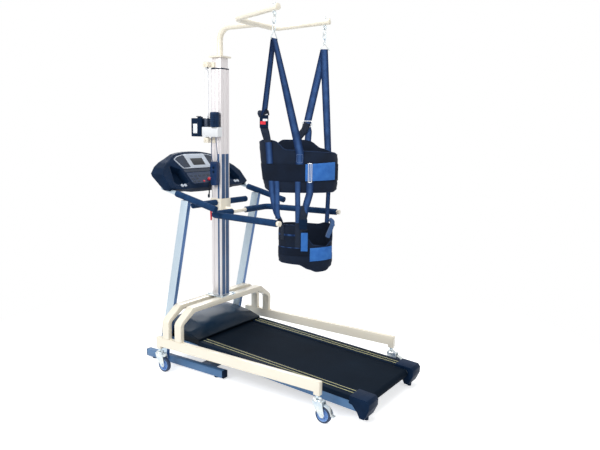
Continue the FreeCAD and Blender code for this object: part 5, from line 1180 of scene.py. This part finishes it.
vest = padded_wrap(
    "harness_vest_foam", vest_oval,
    [(-270, 1548), (-250, 1576), (-232, 1585), (-172, 1585), (-150, 1580), (-80, 1527), (60, 1520),
     (220, 1512), (250, 1500), (270, 1484)],
    [(-270, 1300), (-236, 1274), (-204, 1262), (228, 1262), (256, 1276), (270, 1290)],
    [(-270, 1510), (-180, 1510), (-130, 1570), (-108, 1585), (56, 1585), (76, 1578), (156, 1532),
     (240, 1508), (270, 1484)],
    [(-270, 1300), (-228, 1262), (228, 1262), (270, 1290)],
    13.5, vest_squeeze,
)
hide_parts("harness_vest")

# Box stitching: where the front right strap is sewn to the vest, white-flecked
# bonded thread runs round a rectangle and lies a little proud of the webbing.
thread, tree, shader, metres = surface("bonded_nylon_thread", cloth=True)
# A stitch about every 2 mm.
twist = add(tree, "TexWave", {"Vector": metres, "Scale": 160.0}, bands_direction="Y")
tone = add(tree, "Mix", {0: twist.outputs["Fac"], 6: "#24406C", 7: "#8FA9CF"}, data_type="RGBA")
feed(tree, shader, Base_Color=tone.outputs[2], Roughness=0.6, Specular_IOR_Level=0.2)
for number, along in enumerate((-9, 29)):
    strap(
        f"strap_stitch_side_{number}", sewn_run(vest_oval, along, -1, 1500, 1452, 4.2), 1.6, thread, thick=1.2
    )
for number, height in enumerate((1452, 1500)):
    ends = [oval_place(vest_oval, -9 + 4.75 * i, -1, 4.2, height) for i in range(9)]
    strap(
        f"strap_stitch_across_{number}", [(at, up) for at, _ in ends], 1.6, thread, thick=1.2,
        step=0.003,
    )

# The vest's belt: black elastic round the back and left, and a blue loop-pile
# end that folds through a chromed slide.
elastic, tree, shader, metres = surface("woven_black_elastic", cloth=True)
# Rubber threads about 1.2 mm apart.
ribs = add(tree, "TexWave", {"Vector": metres, "Scale": 260.0, "Distortion": 0.4}, bands_direction="X")
cloud = add(tree, "TexNoise", {"Vector": metres, "Scale": 9.0, "Detail": 4.0})
tone = add(tree, "Mix", {0: cloud.outputs["Fac"], 6: "#060C16", 7: "#122036"}, data_type="RGBA")
bump = add(tree, "Bump", {"Strength": 0.45, "Distance": 0.0005, "Height": ribs.outputs["Fac"]})
feed(
    tree, shader, Base_Color=tone.outputs[2], Roughness=0.78, Specular_IOR_Level=0.15,
    Normal=bump.outputs[0],
)

loop_pile, tree, shader, metres = surface("blue_loop_pile", cloth=True)
# Loops of 1.1 mm, coarser than the real ones so that they show.
fuzz = add(tree, "TexNoise", {"Vector": metres, "Scale": 900.0, "Detail": 3.0})
cloud = add(tree, "TexNoise", {"Vector": metres, "Scale": 24.0, "Detail": 4.0})
tone = add(tree, "Mix", {0: cloud.outputs["Fac"], 6: "#2559A8", 7: "#4684D0"}, data_type="RGBA")
bump = add(tree, "Bump", {"Strength": 0.6, "Distance": 0.0008, "Height": fuzz.outputs["Fac"]})
feed(
    tree, shader, Base_Color=tone.outputs[2], Roughness=0.9, Specular_IOR_Level=0.1,
    Sheen_Weight=0.06, Sheen_Roughness=0.6, Normal=bump.outputs[0],
)


def wrapped_strip(name, oval, start, stop, side, low, high, out, thick, material, steps=70):
    """A strip that lies round one side of an oval band, with rolled edges."""
    points, uvs, run, last = [], [], 0.0, None
    section = [
        (0.0, 0.0), (0.004, 0.75), (0.03, 1.0), (0.25, 1.05), (0.5, 1.0), (0.75, 1.05), (0.97, 1.0),
        (0.996, 0.75), (1.0, 0.0),
    ]
    offset, half_length, half_depth, lean = oval
    limit = half_length + out
    first_angle = math.acos(max(-1, min(1, (start - offset) / limit)))
    last_angle = math.acos(max(-1, min(1, (stop - offset) / limit)))
    for i in range(steps + 1):
        angle = first_angle + (last_angle - first_angle) * i / steps
        along = offset + limit * math.cos(angle)
        lower = low(along) if callable(low) else low
        upper = high(along) if callable(high) else high
        for v, bulge in section:
            radius = out + thick * bulge
            height = lower + (upper - lower) * v
            length_way = offset + (half_length + radius) * math.cos(angle) + lean(math.cos(angle), height)
            depth_way = side * (half_depth + radius) * math.sin(angle)
            points.append(at_harness(length_way, depth_way, height))
            uvs.append((run, height / 1000))
        here_now = points[-1]
        run += 0.0 if last is None else (here_now - last).length
        last = here_now
    count = len(section)
    faces = rings_to_faces(steps + 1, count)
    faces.append(tuple(range(count)))
    faces.append(tuple(steps * count + j for j in reversed(range(count))))
    made = piece(name, points, faces, material, "harness", uvs=uvs)
    made.modifiers.new("smooth", "EDGE_SPLIT").split_angle = math.radians(50)
    return made


wrapped_strip("belt_back", vest_oval, -256, 256, 1, 1332, belt_top, 0.6, 3.4, elastic, steps=120)
wrapped_strip(
    "belt_front", vest_oval, -256, 82, -1, belt_foot, lambda s: 1438 + 0.02 * s, 0.6, 3.4, elastic
)
wrapped_strip(
    "belt_end", vest_oval, 46, 232, -1, lambda s: 1334 + 0.03 * (s - 46), lambda s: 1440 + 0.07 * (s - 46),
    1.4, 4.4, loop_pile,
)
wrapped_strip("belt_side", vest_oval, 226, 256, -1, 1332, 1440, 0.6, 3.4, elastic, steps=14)


def frame_ring(name, centre, width, height, wire, material, way, bar=True):
    """A flat wire buckle: a rounded rectangle with a bar across it."""
    out = way.cross(up).normalized()
    corner = min(width, height) * 0.18
    path = []
    for cx, cy, start in ((1, 1, 0), (-1, 1, 90), (-1, -1, 180), (1, -1, 270)):
        for i in range(5):
            angle = math.radians(start + 22.5 * i)
            x = cx * (width / 2 - corner) + corner * math.cos(angle)
            path.append((x, cy * (height / 2 - corner) + corner * math.sin(angle)))
    points, around = [], 8
    for i, (x, y) in enumerate(path):
        ahead_x, ahead_y = path[(i + 1) % len(path)]
        behind_x, behind_y = path[i - 1]
        tangent = Vector((ahead_x - behind_x, ahead_y - behind_y)).normalized()
        normal = Vector((tangent.y, -tangent.x))
        for j in range(around):
            angle = 2 * math.pi * j / around
            flat = Vector((x, y)) + normal * (wire * math.cos(angle))
            points.append(centre + (way * flat.x + up * flat.y + out * (wire * 0.7 * math.sin(angle))) / 1000)
    faces = rings_to_faces(len(path), around, closed_length=True)
    if bar:
        first = len(points)
        for y in (-height / 2 + wire, height / 2 - wire):
            for j in range(around):
                angle = 2 * math.pi * j / around
                round_bar = way * (wire * math.cos(angle)) + out * (wire * 0.7 * math.sin(angle))
                points.append(centre + (round_bar + up * y) / 1000)
        faces += [tuple(first + n for n in face) for face in rings_to_faces(2, around)]
    made = piece(name, points, faces, material, "harness")
    return made


slide_at, slide_way = oval_place(vest_oval, 76, -1, 7.0, 1386)
belt_slide = frame_ring("belt_slide", slide_at, 22, 118, 2.6, chrome, slide_way)
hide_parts("buckles")
frame_ring("back_strap_slide", buckle_c, 60, 36, 3.4, chrome, long_way, bar=False)
rounded_box("shoulder_buckle", buckle_a, (54, 15, 80), 5, black_abs, "harness", turn)
rounded_box(
    "shoulder_buckle_button", buckle_a - short_way * 0.0076 - long_way * 0.006 - up * 0.008,
    (34, 3.4, 20), 1.6, red_pvc, "harness", turn,
)
rounded_box(
    "shoulder_buckle_tab", buckle_a - short_way * 0.0076 + long_way * 0.008 + up * 0.010,
    (30, 3.0, 14), 1.4, white_label, "harness", turn,
)
rounded_box(
    "shoulder_buckle_tongue", buckle_a - short_way * 0.001 + up * 0.042, (44, 3, 14), 1.2, chrome,
    "harness", turn,
)

# Leg straps: the same webbing from the vest down to the thigh band, one of them
# with a side-release buckle in black acetal.
clip_at = at_harness(38, -120, 1057)
strap(
    "leg_strap_left",
    sewn_run(vest_oval, -184, -1, belt_foot, vest_foot, 2.2)
    + [(at_harness(-136, -114, 1130), long_way * 0.8 + short_way * 0.6),
       (at_harness(-118, -112, 1090), long_way * 0.5 + short_way * 0.86)], 40, webbing,
)
strap(
    "leg_strap_left_inner",
    sewn_run(vest_oval, -142, -1, belt_foot, vest_foot, 2.0)
    + [(at_harness(-128, -121, 1130), long_way), (at_harness(-122, -117, 1092), long_way)], 34, webbing,
)
strap(
    "leg_strap_left_end",
    [(at_harness(-122, -113, 1108), long_way * 0.5 + short_way * 0.86)]
    + sewn_run(band_oval, -96, -1, 1036, 890, 2.0)[:6], 30, black_webbing,
)
strap(
    "leg_strap_middle",
    sewn_run(vest_oval, 0, -1, belt_foot, vest_foot)
    + [(oval_place(band_oval, 4, -1, 3.0, 1064)[0], long_way)],
    34, webbing,
)
strap("leg_strap_middle_end", sewn_run(band_oval, 4, -1, 1070, 902, 2.0), 36, black_webbing)
strap(
    "leg_strap_right",
    sewn_run(vest_oval, 204, 1, belt_foot, vest_foot) + sewn_run(band_oval, 196, 1, 1020, 902),
    34, webbing,
)
strap(
    "leg_strap_buckled",
    sewn_run(vest_oval, 76, -1, belt_foot, vest_foot, 2.2) + [
        (at_harness(52, -128, 1170), long_way * 0.9 - short_way * 0.4), (clip_at + up * 0.034, long_way),
    ], 46, webbing,
)
strap(
    "leg_strap_return",
    [(at_harness(44, -124, 1176), long_way), (at_harness(40, -127, 1120), long_way),
     (clip_at + up * 0.030 - short_way * 0.004, long_way)], 46, black_webbing,
)
strap(
    "leg_strap_end_upper", [(clip_at - up * 0.024, long_way), oval_place(band_oval, 47, -1, 2.4, 1012)],
    44, black_webbing,
)
lower_leg = strap("leg_strap_end", sewn_run(band_oval, 47, -1, 1000, 880, 3.4), 44, loop_pile)
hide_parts("leg_straps")
rounded_box("release_buckle", clip_at + up * 0.012, (54, 13, 42), 4, black_abs, "harness", turn)
rounded_box("release_buckle_socket", clip_at - up * 0.020, (50, 11, 26), 4, black_abs, "harness", turn)

# The thigh band: a second foam wrap, lower at the right, with two belts of its
# own that close with blue loop pile.


def band_squeeze(along, height, near):
    """How far the band's belts press the foam in."""
    return -1.4 if 850 < height < 940 else 0.6


thigh = padded_wrap(
    "thigh_band_foam", band_oval,
    [(-150, 1020), (-110, 1038), (-90, 1044), (24, 1046), (44, 1030), (62, 962), (110, 916), (190, 905),
     (232, 940), (260, 990)],
    [(-150, 840), (-124, 800), (-100, 794), (10, 790), (80, 760), (130, 742), (190, 746), (226, 772),
     (246, 806), (260, 826)],
    [(-150, 1020), (-90, 1040), (140, 1030), (190, 1044), (232, 1040), (260, 1010)],
    [(-150, 840), (-110, 794), (10, 790), (130, 742), (190, 746), (226, 772), (260, 826)],
    13.5, band_squeeze, passes=7,
)
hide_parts("thigh_band")
wrapped_strip("thigh_belt_upper", band_oval, -121, 24, -1, 974, 986, 0.6, 1.6, webbing)
wrapped_strip("thigh_panel_seam", band_oval, -121, 60, -1, 896, 901, 0.6, 1.4, webbing)
wrapped_strip("thigh_belt_lower", band_oval, -121, 100, -1, 846, 896, 0.6, 2.6, elastic)
wrapped_strip(
    "thigh_belt_end", band_oval, 84, 226, -1,
    lambda s: 812 + 0.06 * (s - 84), lambda s: 900 + 0.04 * (s - 84), 1.2, 3.4, loop_pile,
)

# The band's padded loop: brushed blue-grey lining cloth, folded over foam, so it
# is pale and soft beside the black nylon.
pile_lining, tree, shader, metres = surface("brushed_lining_cloth", cloth=True)
# Tufts of about 3 mm.
fuzz = add(tree, "TexNoise", {"Vector": metres, "Scale": 300.0, "Detail": 4.0})
tone = add(tree, "Mix", {0: fuzz.outputs["Fac"], 6: "#1E3458", 7: "#4F6E9C"}, data_type="RGBA")
bump = add(tree, "Bump", {"Strength": 0.4, "Distance": 0.0008, "Height": fuzz.outputs["Fac"]})
feed(
    tree, shader, Base_Color=tone.outputs[2], Roughness=0.9, Specular_IOR_Level=0.2,
    Sheen_Weight=0.06, Sheen_Roughness=0.5, Normal=bump.outputs[0],
)
loop_points = [(196, 968, -4), (205, 992, 2), (215, 1016, 7), (223, 1038, 9), (227, 1054, 3), (223, 1062, -7)]
loop_path = [
    (oval_place(band_oval, along, -1, out, height)[0], short_way) for along, height, out in loop_points
]
band_loop = strap("thigh_band_loop", loop_path, 66, pile_lining, thick=24)
band_loop.modifiers.new("round", "SUBSURF").levels = 1

# The safety tether: woven black elastic from the red key down to a moulded
# spring clip that the walker wears.
key_low, key_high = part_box("safety_key")
key_middle = (key_low + key_high) / 2
down_face = -face_up
tether_route = [
    (key_middle + down_face * 0.0136, y_way), (key_middle + down_face * 0.023, y_way),
    (here(-62, -53, 1240), y_way), (here(-58, -54, 1205), y_way), (here(-58, -60, 1186), y_way),
]
tether = strap("safety_tether_webbing", tether_route, 12, elastic, body="safety_key", thick=2.4)
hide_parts("safety_tether")
rounded_box("safety_tether_clip", here(-58, -59.5, 1180), (9, 15, 24), 2.4, black_abs, "safety_key")

bpy.context.view_layer.update()
